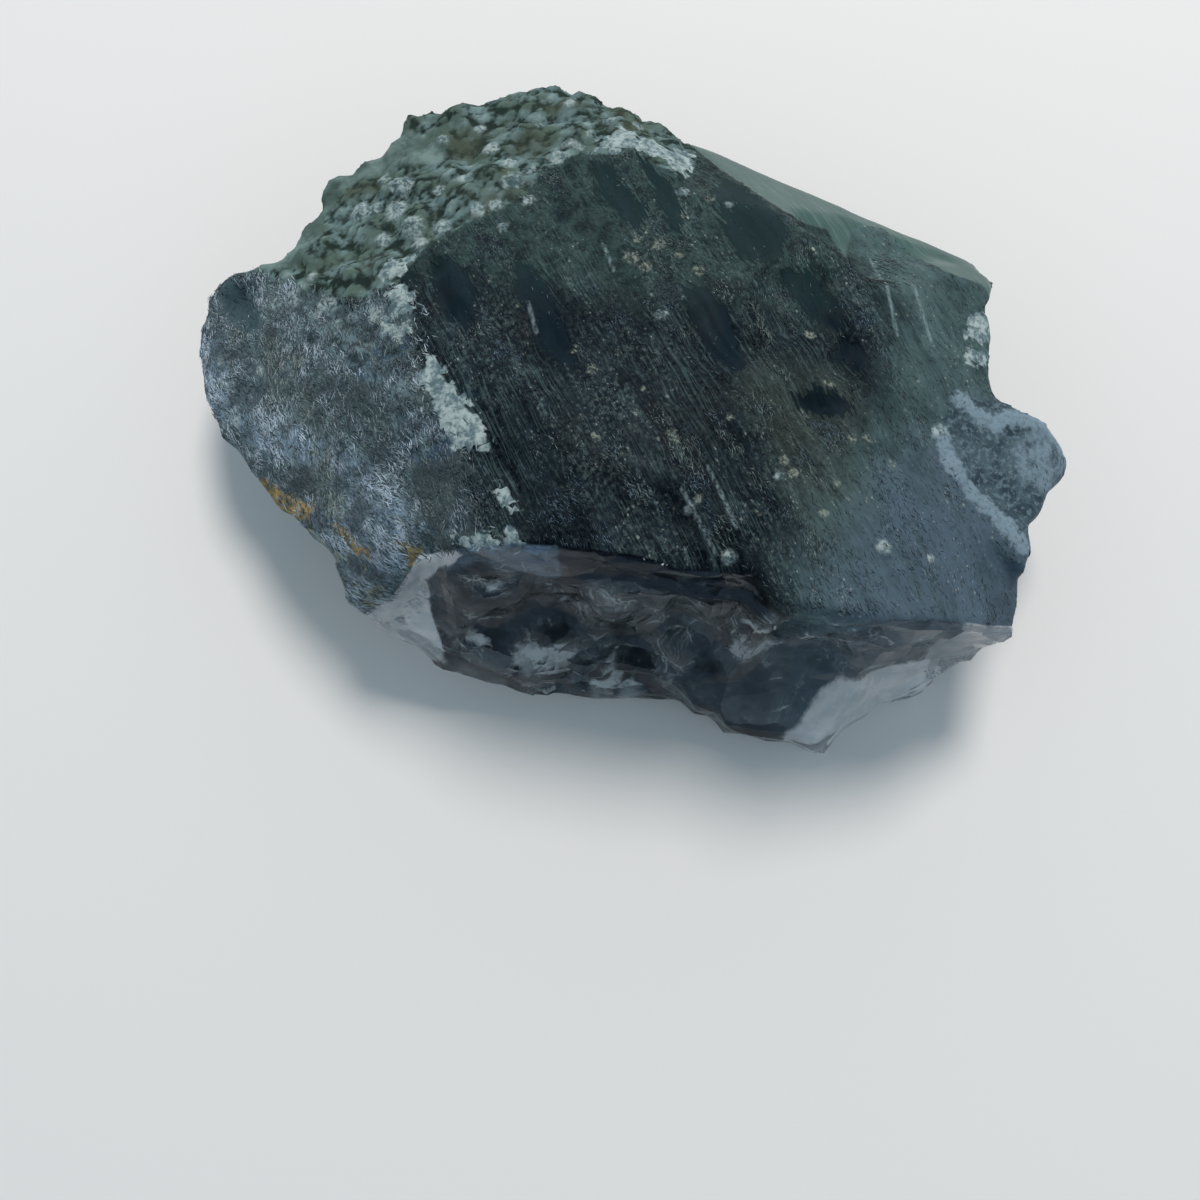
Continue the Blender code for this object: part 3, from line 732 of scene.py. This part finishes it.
def layNeedles(name, stone, weight, tone):
    kind = needleKinds[name]
    dice = np.random.default_rng(kind["seed"])
    places, outward = points(stone), normals(stone)
    count = kind["count"]
    chosen = dice.choice(len(places), count, p=weight / weight.sum())
    seats, up = places[chosen], outward[chosen]
    swirl = noiseAt(seats, needleSwirl) * kind["swirl"]
    spread = np.where(dice.random(count) < kind["crossing"], kind["crossSpread"], kind["spread"])
    bearing = np.radians(skin["fibreBearing"] + swirl + dice.normal(0, spread))
    heading = np.stack((np.sin(bearing), np.cos(bearing), np.zeros(count)), axis=1)
    heading -= up * np.sum(heading * up, axis=1, keepdims=True)
    heading /= np.linalg.norm(heading, axis=1, keepdims=True)
    side = np.cross(up, heading)
    each = (count, 1)
    seats = seats + heading * dice.uniform(-needleShift, needleShift, each) * mm
    seats = seats + side * dice.uniform(-needleShift, needleShift, each) * mm
    length = dice.uniform(*kind["length"], each) * mm
    width = dice.uniform(*kind["width"], each) * mm
    bend = dice.normal(0, kind["bend"], each)
    tip = dice.normal(0, needleTip, each)
    corners, faces = needleShape(kind["rings"])
    x, y, z = corners.T
    across = y * width + (x ** 2 - 0.12) * bend * length  # 0.12 keeps a bent needle over its seat
    rise = z * width + x * tip * length
    laid = seats[:, None]
    for reach, way in ((x * length, heading), (across, side), (rise, up)):
        laid = laid + reach[..., None] * way[:, None]
    joined = (faces + (np.arange(count) * len(corners))[:, None, None]).reshape(-1, 3)
    mesh = bpy.data.meshes.new(name)
    mesh.from_pydata(laid.reshape(-1, 3), [], joined)
    needles = linked(name, mesh)
    setPoints(needles, laid.reshape(-1, 3))
    setAttribute(needles, "tint", np.repeat(dice.random(count) * tone[chosen], len(corners)))
    print(name + ":", len(joined), "faces")
    return needles


def thinned(name, found):
    weight = 1.0
    for place, (share, low, high) in needleKinds[name]["thinned"].items():
        weight = weight * (1 - share * step(found[place], low, high))
    return weight


def makeFelt(stone):
    places = points(stone)
    found = distances(places)
    weight = step(found["felt"], -1.6, 1.2) * step(normals(stone)[:, 2], 0.2, 0.5)
    weight *= thinned("blueFelt", found)
    weight *= 0.35 + step(noiseAt(places, 1.9, 2), -0.4, 0.4)
    tone = 1.05 + 0.6 * step(found["paleFelt"], -1.2, 0.8) - 0.4 * step(found["darkFelt"], -1.0, 0.8)
    return layNeedles("blueFelt", stone, weight + 1e-9, tone)


def makeDust(stone):
    places = points(stone)
    ridgeY, _ = ridgeAt(places)
    clump = step(alongFibres(places, 9.0, 1.7), -0.12, 0.32) * step(noiseAt(places, 2.2, 2), -0.5, 0.2)
    weight = step(normals(stone)[:, 2], 0.1, 0.4) * (places[:, 1] / mm > ridgeY + 0.2)
    weight = weight * thinned("paleDust", distances(places)) * (0.18 + clump)
    return layNeedles("paleDust", stone, weight + 1e-9, 0.75 + 0.35 * clump)


# Materials.

def newMaterial(name):
    material = bpy.data.materials.new(name)
    material.use_nodes = True
    return material, material.node_tree, material.node_tree.nodes["Principled BSDF"]


def addNode(tree, kind, inputs=None, **settings):
    made = tree.nodes.new("ShaderNode" + kind)
    for name, value in settings.items():
        setattr(made, name, value)
    for name, value in (inputs or {}).items():
        feed(tree, made.inputs[name], value)
    return made


def feed(tree, socket, value):
    if isinstance(value, bpy.types.NodeSocket):
        tree.links.new(value, socket)
    elif socket.type == "RGBA" and len(value) == 3:
        socket.default_value = (*value, 1)
    else:
        socket.default_value = value


def maths(tree, operation, first, second=0.0):
    return addNode(tree, "Math", {0: first, 1: second}, operation=operation).outputs[0]


def mixed(tree, share, first, second, kind="RGBA"):
    made = addNode(tree, "Mix", {"Factor": share}, data_type=kind, clamp_factor=True)
    low, high, out = (6, 7, 2) if kind == "RGBA" else (2, 3, 0)  # the node's sockets for colours or values
    feed(tree, made.inputs[low], first)
    feed(tree, made.inputs[high], second)
    return made.outputs[out]


def blended(tree, share, first, second):
    return mixed(tree, share, first, second, "FLOAT")


def ranged(tree, value, low, high, toLow=0.0, toHigh=1.0):
    made = addNode(
        tree, "MapRange",
        {"Value": value, "From Min": low, "From Max": high, "To Min": toLow, "To Max": toHigh},
        interpolation_type="SMOOTHSTEP",
    )
    return made.outputs[0]


def objectPlace(tree):
    return addNode(tree, "TexCoord").outputs["Object"]


def noiseOf(tree, place, scale, detail, roughness=0.5, distortion=0.0):
    return addNode(tree, "TexNoise", {
        "Vector": place, "Scale": scale, "Detail": detail, "Roughness": roughness, "Distortion": distortion,
    }).outputs


def attributeOf(tree, name):
    return addNode(tree, "Attribute", attribute_name=name).outputs["Fac"]


def newGroup(name, vectors, numbers, outputs):
    group = bpy.data.node_groups.new(name, "ShaderNodeTree")
    for socketName in vectors:
        group.interface.new_socket(socketName, in_out="INPUT", socket_type="NodeSocketVector")
    for socketName, value in numbers.items():
        socket = group.interface.new_socket(socketName, in_out="INPUT", socket_type="NodeSocketFloat")
        socket.default_value = value
    for socketName in outputs:
        group.interface.new_socket(socketName, in_out="OUTPUT", socket_type="NodeSocketFloat")
    return group, group.nodes.new("NodeGroupInput").outputs, group.nodes.new("NodeGroupOutput").inputs


def useGroup(tree, group, inputs):
    made = tree.nodes.new("ShaderNodeGroup")
    made.node_tree = group
    for name, value in inputs.items():
        feed(tree, made.inputs[name], value)
    return made.outputs


def vectorMaths(tree, operation, inputs):
    return addNode(tree, "VectorMath", inputs, operation=operation).outputs[0]


def wanderOf(tree, place):
    # a slow drift that bends fibres and shakes edges
    drift = noiseOf(tree, place, 330.0, 1.0)["Color"]
    return vectorMaths(tree, "SUBTRACT", {0: drift, 1: (0.5, 0.5, 0.5)})


def pushedBy(tree, place, wander, reach):
    return vectorMaths(tree, "ADD", {0: place, 1: vectorMaths(tree, "SCALE", {0: wander, "Scale": reach})})


def drawnOut(tree, place, turn, scales):
    # turns a place about z by some degrees and stretches it
    turned = addNode(
        tree, "VectorRotate", {"Vector": place, "Angle": maths(tree, "RADIANS", turn)},
        rotation_type="Z_AXIS",
    )
    scale = addNode(tree, "CombineXYZ", dict(zip("XYZ", scales)))
    return vectorMaths(tree, "MULTIPLY", {0: turned.outputs[0], 1: scale.outputs[0]})


def bumpUp(tree, shader, height, finish):
    bump = addNode(tree, "Bump", {
        "Height": height, "Strength": finish["bumpStrength"], "Distance": finish["bumpReach"] * mm,
    })
    feed(tree, shader.inputs["Normal"], bump.outputs["Normal"])


def raggedPatchGroup():
    # turns a distance in mm into a patch with a broken edge
    group, given, put = newGroup(
        "raggedPatch", [], {"Distance": 0.0, "Rough": 0.5, "Ragged": 0.4, "Soft": 0.1}, ["Mask"],
    )
    shift = maths(group, "MULTIPLY", maths(group, "SUBTRACT", given["Rough"], 0.5), given["Ragged"])
    reach = maths(group, "ADD", given["Distance"], maths(group, "MULTIPLY", shift, 2.0))
    softened = maths(group, "DIVIDE", reach, given["Soft"])
    feed(group, put["Mask"], ranged(group, softened, -1.0, 1.0))
    return group


def fibreGroup():
    # fine streaks that run along one bearing and bend a little
    group, given, put = newGroup(
        "fibres", ["Place", "Wander"],
        {"Turn": 0.0, "Length": 1.2, "Width": 0.1, "Bend": 0.4, "Sharp": 0.1}, ["Streaks", "Height"],
    )
    bend = maths(group, "MULTIPLY", given["Bend"], mm * 4)
    moved = pushedBy(group, given["Place"], given["Wander"], bend)
    across = maths(group, "DIVIDE", 1 / mm, given["Width"])
    along = maths(group, "DIVIDE", 1 / mm, given["Length"])
    stretched = drawnOut(group, moved, given["Turn"], (across, along, along))
    hair = noiseOf(group, stretched, 1.0, 2.0)["Fac"]
    middle = 0.56  # a little over half, so that streaks are narrower than the gaps
    low = maths(group, "SUBTRACT", middle, given["Sharp"])
    high = maths(group, "ADD", middle, given["Sharp"])
    made = addNode(group, "MapRange", {"Value": hair, "From Min": low, "From Max": high})
    feed(group, put["Streaks"], made.outputs[0])
    feed(group, put["Height"], hair)
    return group


def flecksGroup():
    # small bright chips of crystal with painted glints, a share of them lit, drawn out along the fibres
    group, given, put = newGroup(
        "flecks", ["Place"], {"Turn": 0.0, "Size": 0.4, "Stretch": 1.8, "Share": 0.3}, ["Mask", "Tint"],
    )
    across = maths(group, "DIVIDE", 1 / mm, given["Size"])
    along = maths(group, "DIVIDE", across, given["Stretch"])
    stretched = drawnOut(group, given["Place"], given["Turn"], (across, along, across))
    cells = addNode(group, "TexVoronoi", {"Vector": stretched, "Scale": 1.0})
    chance = addNode(group, "SeparateColor", {"Color": cells.outputs["Color"]})
    lit = maths(group, "LESS_THAN", chance.outputs[0], given["Share"])
    spot = ranged(group, cells.outputs["Distance"], 0.42, 0.18)
    feed(group, put["Mask"], maths(group, "MULTIPLY", lit, spot))
    feed(group, put["Tint"], chance.outputs[1])
    return group


def paint(red, green, blue):
    # a colour as a picture shows it, made linear
    def linear(part):
        share = part / 255
        return share / 12.92 if share <= 0.04045 else ((share + 0.055) / 1.055) ** 2.4
    return tuple(linear(part) for part in (red, green, blue))


# The stone's colours, as a picture shows them.
stoneColours = {
    "black": (4, 11, 18), "slate": (46, 62, 71), "olive": (80, 90, 82), "cream": (136, 144, 132),
    "northSlate": (51, 69, 67), "paleFibreGlint": (98, 114, 116), "eastHaze": (86, 109, 111),
    "purpleHaze": (84, 98, 118), "goldDust": (70, 84, 80), "feltDark": (70, 88, 92),
    "feltPale": (154, 176, 180), "feltBrown": (74, 84, 82), "feltShade": (50, 62, 64),
    "feltBlue": (132, 156, 178), "feltSmooth": (86, 102, 108), "blueLump": (122, 144, 152),
    "deepBlue": (62, 84, 112), "pit": (72, 92, 98), "crustCrackShade": (38, 50, 46),
    "crustGreen": (84, 102, 94), "crustBlue": (104, 126, 127), "crustPale": (140, 160, 158),
    "crustBrown": (72, 80, 68), "wall": (116, 138, 134), "wallDark": (78, 96, 92),
    "white": (168, 182, 182), "whiteDull": (90, 112, 118), "window": (15, 28, 36),
    "windowNorth": (27, 45, 47), "rust": (176, 146, 84), "rustDark": (110, 104, 78),
    "ochre": (140, 144, 124), "crystal": (70, 95, 91), "chip": (78, 96, 104), "chipDark": (52, 66, 74),
    "chipPale": (124, 144, 156), "chipAndGlint": (182, 184, 168), "chipAndGlintBlue": (138, 156, 166),
    "smoky": (102, 112, 114), "smokyDark": (23, 30, 34), "smokyEast": (88, 106, 116), "navy": (8, 14, 22),
    "veined": (104, 126, 146), "frost": (251, 252, 253), "frostDull": (228, 235, 239),
    "veil": (210, 220, 224), "warm": (210, 196, 168),
}

# How ragged and how soft each patch's edge is, in mm, and the noise that breaks it, fine if none is named.
patchEdges = {
    "white": (0.15, 0.08), "window": (0.3, 0.09),
    "northGreen": (2.5, 3.0, "wide"), "eastHaze": (2.2, 2.6, "wide"), "purple": (2.0, 2.6, "wide"),
    "olive": (1.6, 1.4, "wide"), "cream": (0.45, 0.14), "felt": (1.1, 0.6, "middle"),
    "darkFelt": (1.2, 1.0, "middle"), "paleFelt": (1.2, 0.9, "middle"),
    "smoothFelt": (0.9, 0.9, "middle"), "deepBlue": (0.7, 0.5, "middle"), "blueLump": (0.7, 0.3),
    "crust": (0.9, 0.25, "middle"), "brown": (1.3, 1.0, "middle"), "northwestWall": (0.35, 0.3, "middle"),
    "ochre": (0.9, 0.5, "middle"), "rust": (0.7, 0.15), "chip": (0.2, 0.15),
    "chipPale": (0.8, 0.5, "middle"), "vein": (0.75, 0.22), "pit": (0.5, 0.4, "middle"),
    "scratch": (0.1, 0.12), "lump": (0.42, 0.2), "crystal": (0.12, 0.15),
    "core": (0.05, 0.08), "eastHazeBelow": (1.0, 1.4, "wide"), "veined": (0.5, 0.3, "middle"),
    "darkStrip": (0.5, 0.2, "middle"), "veil": (0.8, 0.35), "warm": (0.4, 0.25),
    "lip": (0.5, 0.25, "middle"), "southeastFacet": (0.2, 0.2), "frost": (0.15, 0.1),
}

# Streaks: length, width, softness, turn in degrees from the fibres' bearing, and bend.
streakKinds = {
    "swaths": (14.0, 2.4, 0.16, 2.0, 0.5), "wideBands": (7.0, 0.75, 0.22, 3.0, 0.28),
    "fineBands": (1.7, 0.19, 0.16, -2.0, 0.3), "hairs": (1.3, 0.06, 0.05, 3.0, 0.12),
    "crossHairs": (0.8, 0.06, 0.05, 24.0, 0.12), "longHairs": (3.4, 0.1, 0.05, 4.0, 0.15),
    "feltHair": (0.8, 0.08, 0.07, 0.0, 0.3), "crossFelt": (0.6, 0.07, 0.07, -34.0, 0.3),
    "veinLines": (2.6, 0.16, 0.06, 60.0, 0.9), "hackle": (2.4, 0.15, 0.06, 30.0, 0.3),
}

# Noises on the stone: scale per metre, detail and roughness.
noiseKinds = {
    "broad": (170.0, 3.0, 0.6), "middle": (430.0, 3.0, 0.6), "mottle": (1000.0, 4.0, 0.6),
    "fine": (3200.0, 2.0, 0.6),
}
edgeNoises = {"wide": (300.0, 3.0, 0.6), "middle": (720.0, 3.0, 0.6), "fine": (1400.0, 3.0, 0.6)}

fibrousFinish = {
    "ior": 1.54,
    "specular": 0.02,  # more of it gives the dark stone a brown sheen
    "topRoughness": (0.3, 0.5),
    "windowRoughness": 0.45,
    "crystalRoughness": 0.16,
    "bumpStrength": 0.8,
    "bumpReach": 0.09,
}
brokenCells = {
    "whiteBlock": 0.62, "blockReach": 0.75, "breakScale": 300.0, "crackScale": 430.0, "shake": 1.6,
}


def fibrousMaterial(groups):
    material, tree, shader = newMaterial("riebeckiteQuartz")
    place = objectPlace(tree)
    hues = {name: paint(*shade) for name, shade in stoneColours.items()}
    turn = skin["fibreBearing"] - 180

    def times(first, second):
        return maths(tree, "MULTIPLY", first, second)

    def plus(first, second):
        return maths(tree, "ADD", first, second)

    def most(first, second):
        return maths(tree, "MAXIMUM", first, second)

    def without(value, share=1.0):
        return maths(tree, "SUBTRACT", 1.0, times(value, share))

    def within(value, low, high, toLow=0.0, toHigh=1.0):
        return ranged(tree, value, low, high, toLow, toHigh)

    def hue(value):
        return hues[value] if isinstance(value, str) else value

    def layered(under, *layers):
        # lays each colour over the ones before it, by its share
        under = hue(under)
        for share, top in layers:
            under = mixed(tree, share, under, hue(top))
        return under

    def over(under, share, top):
        return layered(under, (share, top))

    edges = {name: noiseOf(tree, place, *kind)["Fac"] for name, kind in edgeNoises.items()}
    wander = wanderOf(tree, place)

    def patchAt(distance, ragged, soft, edge="fine"):
        return useGroup(tree, groups["patch"], {
            "Distance": distance, "Rough": edges[edge], "Ragged": ragged, "Soft": soft,
        })["Mask"]

    def patch(name, edge=None):
        return patchAt(attributeOf(tree, name), *patchEdges[edge or name])

    def cellsOf(where, scale):
        # one random shade for each cell
        cells = addNode(tree, "TexVoronoi", {"Vector": where, "Scale": scale})
        return addNode(tree, "SeparateColor", {"Color": cells.outputs["Color"]}).outputs[0]

    def patchy(name, noise, *limits):
        # a patch that one of the noises breaks up
        return times(patch(name), within(noise, *limits))

    def streaks(name):
        length, width, sharp, extra, bend = streakKinds[name]
        return useGroup(tree, groups["fibres"], {
            "Place": place, "Wander": wander, "Turn": turn + extra, "Length": length, "Width": width,
            "Bend": bend, "Sharp": sharp,
        })["Streaks"]

    def flecks(size, share):
        return useGroup(tree, groups["flecks"], {
            "Place": place, "Turn": turn, "Size": size, "Share": share, "Stretch": 1.5,
        })

    broad, middle, mottle, fine = [noiseOf(tree, place, *kind)["Fac"] for kind in noiseKinds.values()]
    wideBands, fineBands = streaks("wideBands"), streaks("fineBands")
    north, purple = patch("northGreen"), patch("purple")

    # the dark ground, with haze towards the east
    bands = plus(times(wideBands, 0.35), times(fineBands, 0.25))
    bands = plus(bands, times(streaks("swaths"), 0.4))
    hairs = most(streaks("hairs"), times(streaks("crossHairs"), 0.7))
    # painted glints: pale hair strokes where the fibres would catch the light, over real pale fibres
    lit = times(hairs, within(bands, 0.2, 0.7, 0.1, 0.85))
    haze = times(within(bands, 0.1, 0.8, 0.55, 1.0), within(mottle, 0.3, 0.7, 0.6, 1.0))
    dusty = times(within(fine, 0.48, 0.66), within(bands, 0.2, 0.8, 0.1, 0.65))
    long = times(streaks("longHairs"), within(broad, 0.4, 0.6, 0.05, 0.35))
    # painted glints: bright chips along the fibres, only a share of them lit
    small, large = flecks(0.17, 0.14), flecks(0.34, 0.06)
    chipAndGlint = times(most(small["Mask"], large["Mask"]), within(bands, 0.2, 0.7, 0.1, 0.9))
    chipAndGlint = times(chipAndGlint, within(fine, 0.42, 0.56))
    ground = layered(
        "black",
        (times(bands, within(middle, 0.34, 0.66, 0.3, 1.0)), "slate"),
        (times(north, within(mottle, 0.38, 0.6, 0.3, 0.95)), "northSlate"),
        (patchy("olive", bands, 0.1, 0.7, 0.25, 0.75), "olive"),
        (times(lit, within(fine, 0.4, 0.6)), "paleFibreGlint"),
        (times(patch("eastHaze"), haze), "eastHaze"),
        (times(purple, times(haze, 0.9)), "purpleHaze"),
        (times(dusty, without(purple, 0.7)), "goldDust"),
        (long, "eastHaze"),
        (chipAndGlint, over("chipAndGlint", small["Tint"], "chipAndGlintBlue")),
        (patchy("cream", fine, 0.42, 0.58, 0.1, 0.8), "cream"),
    )

    # blue felt
    felt = patch("felt")
    hair = most(streaks("feltHair"), streaks("crossFelt"))
    feltColour = layered(
        "feltDark",
        (times(hair, within(middle, 0.34, 0.64, 0.15, 0.85)), "feltPale"),
        (within(broad, 0.5, 0.66, 0.0, 0.6), "feltBrown"),
        (times(patch("darkFelt"), 0.5), "feltShade"),
        (patchy("paleFelt", mottle, 0.34, 0.6, 0.15, 0.8), "feltBlue"),
        (times(patch("smoothFelt"), 0.6), "feltSmooth"),
        (times(patch("deepBlue"), 0.7), "deepBlue"),
        (times(patch("blueLump"), 0.85), over("feltShade", within(mottle, 0.36, 0.62), "blueLump")),
    )

    # crust, with painted shade in the cracks between its lumps and painted light on their tops
    crust = patch("crust")
    grainTop = plus(attributeOf(tree, "grainTop"), times(maths(tree, "SUBTRACT", mottle, 0.5), 1.5))
    wallColour = over("wallDark", within(middle, 0.36, 0.64), "wall")
    crustColour = layered(
        "crustCrackShade",
        (within(grainTop, 0.06, 0.5), over("crustGreen", within(middle, 0.4, 0.6), "crustBlue")),
        (times(within(grainTop, 0.5, 0.9), within(middle, 0.42, 0.6, 0.05, 0.75)), "crustPale"),
        (within(broad, 0.54, 0.7, 0.0, 0.7), "crustBrown"),
        (patchy("brown", mottle, 0.36, 0.6, 0.35, 0.8), "crustBrown"),
        (patchy("northwestWall", mottle, 0.3, 0.6, 0.6, 0.95), wallColour),
    )

    # what lies under the clear band
    shaken = pushedBy(tree, place, wander, brokenCells["shake"] * mm)
    # painted facet shading: each broken cell gets its own darker or lighter smoke, as broken facets facing
    # the light differently would, with a mottle
    breaks = times(cellsOf(shaken, brokenCells["breakScale"]), 0.55)
    facetShadeAndMottle = plus(breaks, times(within(middle, 0.3, 0.7), 0.45))
    blueEnd = times(patch("eastHaze", "eastHazeBelow"), within(mottle, 0.3, 0.65, 0.4, 1.0))
    cells = {"Vector": shaken, "Scale": brokenCells["crackScale"]}
    cracks = addNode(tree, "TexVoronoi", cells, feature="DISTANCE_TO_EDGE").outputs["Distance"]
    wisps = most(times(streaks("veinLines"), 0.35), within(cracks, 0.05, 0.0))
    worn = times(within(middle, 0.5, 0.62, 0.0, 0.75), within(mottle, 0.36, 0.56, 0.35, 1.0))
    hackle = times(streaks("hackle"), times(blueEnd, within(middle, 0.46, 0.62, 0.0, 0.07)))
    # painted light: the frosted facet and the clear lip are painted near-white on the stone beneath,
    # standing in for light from the paper that shines through them
    frost = most(patch("frost"), most(patch("lip"), times(patch("southeastFacet"), 0.45)))
    smoky = layered(
        "smokyDark",
        (within(facetShadeAndMottle, 0.15, 0.9), "smoky"),
        (blueEnd, "smokyEast"),
        (patchy("veined", mottle, 0.34, 0.6, 0.3, 1.0), "veined"),
        (most(times(wisps, worn), hackle), "veil"),
        (patchy("darkStrip", mottle, 0.66, 0.44, 0.7, 1.0), "navy"),
        (patchy("veil", mottle, 0.3, 0.6, 0.45, 1.0), "veil"),
        (patch("warm"), "warm"),
        (frost, over("frostDull", within(mottle, 0.38, 0.62), "frost")),
    )

    # stains, the chip crystal and its veins, smooth windows, white patches and lumps
    chipColour = over("chipDark", within(mottle, 0.36, 0.64), "chip")
    chipColour = over(chipColour, within(fine, 0.48, 0.66, 0.0, 0.45), "chipPale")
    vein = most(patch("vein"), times(patchy("chipPale", mottle, 0.35, 0.6, 0.3, 1.0), 0.8))
    feathered = plus(attributeOf(tree, "window"), within(fineBands, 0.0, 1.0, -0.35, 0.35))
    window = patchAt(feathered, *patchEdges["window"])
    windowColour = over(over("window", north, "windowNorth"), times(wideBands, 0.35), "slate")
    # the edge of a white patch follows small broken blocks
    blocks = maths(tree, "SUBTRACT", cellsOf(place, 1000 / brokenCells["whiteBlock"]), 0.5)
    blocks = plus(attributeOf(tree, "white"), times(blocks, brokenCells["blockReach"]))
    white = patchAt(blocks, *patchEdges["white"])
    lump = patchy("lump", fine, 0.3, 0.6, 0.45, 1.0)
    pale = over("whiteDull", within(plus(times(mottle, 0.6), times(fine, 0.4)), 0.4, 0.6), "white")
    crystal = patch("crystal")
    colour = layered(
        ground,
        (felt, feltColour),
        (crust, crustColour),
        (patchy("ochre", mottle, 0.4, 0.56), "ochre"),
        (patchy("rust", fine, 0.34, 0.58, 0.35, 0.95), over("rustDark", within(mottle, 0.38, 0.6), "rust")),
        (patch("chip"), chipColour),
        (times(vein, within(fine, 0.3, 0.56, 0.6, 1.0)), "chipPale"),
        (patch("pit"), "pit"),
        (times(window, 0.95), windowColour),
        (times(patch("scratch"), 0.5), "feltPale"),
        (most(white, times(lump, 0.9)), pale),
        (crystal, over("crystal", times(long, 0.5), "feltPale")),
        (patch("core"), smoky),
    )

    feed(tree, shader.inputs["Base Color"], colour)
    smooth = most(window, crystal)
    rough = most(most(crust, felt), white)
    roughness = blended(tree, rough, within(mottle, 0.3, 0.7, *fibrousFinish["topRoughness"]), 0.8)
    roughness = blended(tree, window, roughness, fibrousFinish["windowRoughness"])
    roughness = blended(tree, crystal, roughness, fibrousFinish["crystalRoughness"])
    feed(tree, shader.inputs["Roughness"], roughness)
    shader.inputs["IOR"].default_value = fibrousFinish["ior"]
    shader.inputs["Specular IOR Level"].default_value = fibrousFinish["specular"]

    relief = plus(times(hair, times(felt, 0.6)), plus(mottle, times(fine, 0.5)))
    relief = times(relief, without(smooth, 0.95))
    bumpUp(tree, shader, relief, fibrousFinish)
    return material


needleFinish = {
    "blueFelt": {
        "dark": paint(58, 74, 80), "pale": paint(200, 216, 230), "other": paint(150, 162, 158),
        "brightFrom": 0.2, "patchFrom": 0.5, "patchTo": 0.64,
    },
    "paleDust": {
        "dark": paint(18, 30, 40), "pale": paint(158, 174, 170), "other": paint(116, 142, 160),
        "brightFrom": 0.5, "patchFrom": 0.44, "patchTo": 0.58,
    },
}


needleGloss = {"roughness": 0.45, "specular": 0.3}
needleNoises = {"patches": (230.0, 2.0), "tufts": (520.0, 3.0)}


def needleMaterial(name):
    look = needleFinish[name]
    material, tree, shader = newMaterial(name)
    place = objectPlace(tree)
    patches, tufts = [noiseOf(tree, place, *kind)["Fac"] for kind in needleNoises.values()]
    patches = ranged(tree, patches, look["patchFrom"], look["patchTo"])
    pale = mixed(tree, patches, look["pale"], look["other"])
    share = ranged(tree, attributeOf(tree, "tint"), look["brightFrom"], 1.0)
    share = maths(tree, "MULTIPLY", share, ranged(tree, tufts, 0.38, 0.6, 0.15, 1.0))
    feed(tree, shader.inputs["Base Color"], mixed(tree, share, look["dark"], pale))
    shader.inputs["Roughness"].default_value = needleGloss["roughness"]
    shader.inputs["Specular IOR Level"].default_value = needleGloss["specular"]
    return material


clearFinish = {
    "tint": (0.97, 0.98, 0.99),
    "smoke": (0.6, 0.66, 0.69),
    "smokeDensity": 30.0,
    "ior": 1.544,
    "sheen": (0.36, 0.47, 0.62),
    "ripple": (600.0, 3.0, 0.55, 0.8),  # scale, detail, roughness and distortion
    "hackle": {"Turn": 8.0, "Length": 2.2, "Width": 0.22, "Bend": 0.8, "Sharp": 0.2},
    "hackleShare": 0.35,
    "facetScale": 360.0,
    "facetShare": 1.8,
    "roughness": (0.01, 0.07),
    "frostEdge": {"Ragged": 0.2, "Soft": 0.2},
    "frostRoughness": 0.24,
    "bumpStrength": 0.35,
    "bumpReach": 0.12,
}


def clearMaterial(groups):
    material, tree, shader = newMaterial("clearSmokyQuartz")
    place = objectPlace(tree)
    ripple = noiseOf(tree, place, *clearFinish["ripple"])["Fac"]
    hackle = useGroup(tree, groups["fibres"], {
        "Place": place, "Wander": wanderOf(tree, place), **clearFinish["hackle"],
    })["Height"]
    frost = useGroup(tree, groups["patch"], {
        "Distance": attributeOf(tree, "frost"), "Rough": ripple, **clearFinish["frostEdge"],
    })["Mask"]
    shader.inputs["Base Color"].default_value = (*clearFinish["tint"], 1)
    roughness = ranged(tree, ripple, 0.4, 0.72, *clearFinish["roughness"])
    feed(tree, shader.inputs["Roughness"], blended(tree, frost, roughness, clearFinish["frostRoughness"]))
    shader.inputs["IOR"].default_value = clearFinish["ior"]
    shader.inputs["Specular Tint"].default_value = (*clearFinish["sheen"], 1)
    shader.inputs["Transmission Weight"].default_value = 1.0
    facets = addNode(tree, "TexVoronoi", {"Vector": place, "Scale": clearFinish["facetScale"]})
    relief = maths(tree, "ADD", ripple, maths(tree, "MULTIPLY", hackle, clearFinish["hackleShare"]))
    facets = maths(tree, "MULTIPLY", facets.outputs["Distance"], clearFinish["facetShare"])
    bumpUp(tree, shader, maths(tree, "ADD", relief, facets), clearFinish)
    smoke = addNode(tree, "VolumeAbsorption", {
        "Color": clearFinish["smoke"], "Density": clearFinish["smokeDensity"],
    })
    feed(tree, tree.nodes["Material Output"].inputs["Volume"], smoke.outputs["Volume"])
    return material


def finishPiece(obj, material, rounded=True):
    obj.data.materials.clear()
    obj.data.materials.append(material)
    if rounded:
        obj.data.shade_smooth()
    else:
        obj.data.shade_flat()
    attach(obj, "root")
    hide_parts(nodeName)


makeCamera()
makeLights()
makeRoom()
makeFloor()
bpy.context.scene.view_settings.view_transform = "Standard"
print("camera, light and floor are in place")

groups = {
    "patch": raggedPatchGroup(),
    "fibres": fibreGroup(),
    "flecks": flecksGroup(),
}
fibrousStone = makeFibrousStone()
finishPiece(fibrousStone, fibrousMaterial(groups))
finishPiece(makeFelt(fibrousStone), needleMaterial("blueFelt"))
finishPiece(makeDust(fibrousStone), needleMaterial("paleDust"))
finishPiece(makeClearQuartz(), clearMaterial(groups), rounded=False)
print("materials are on")
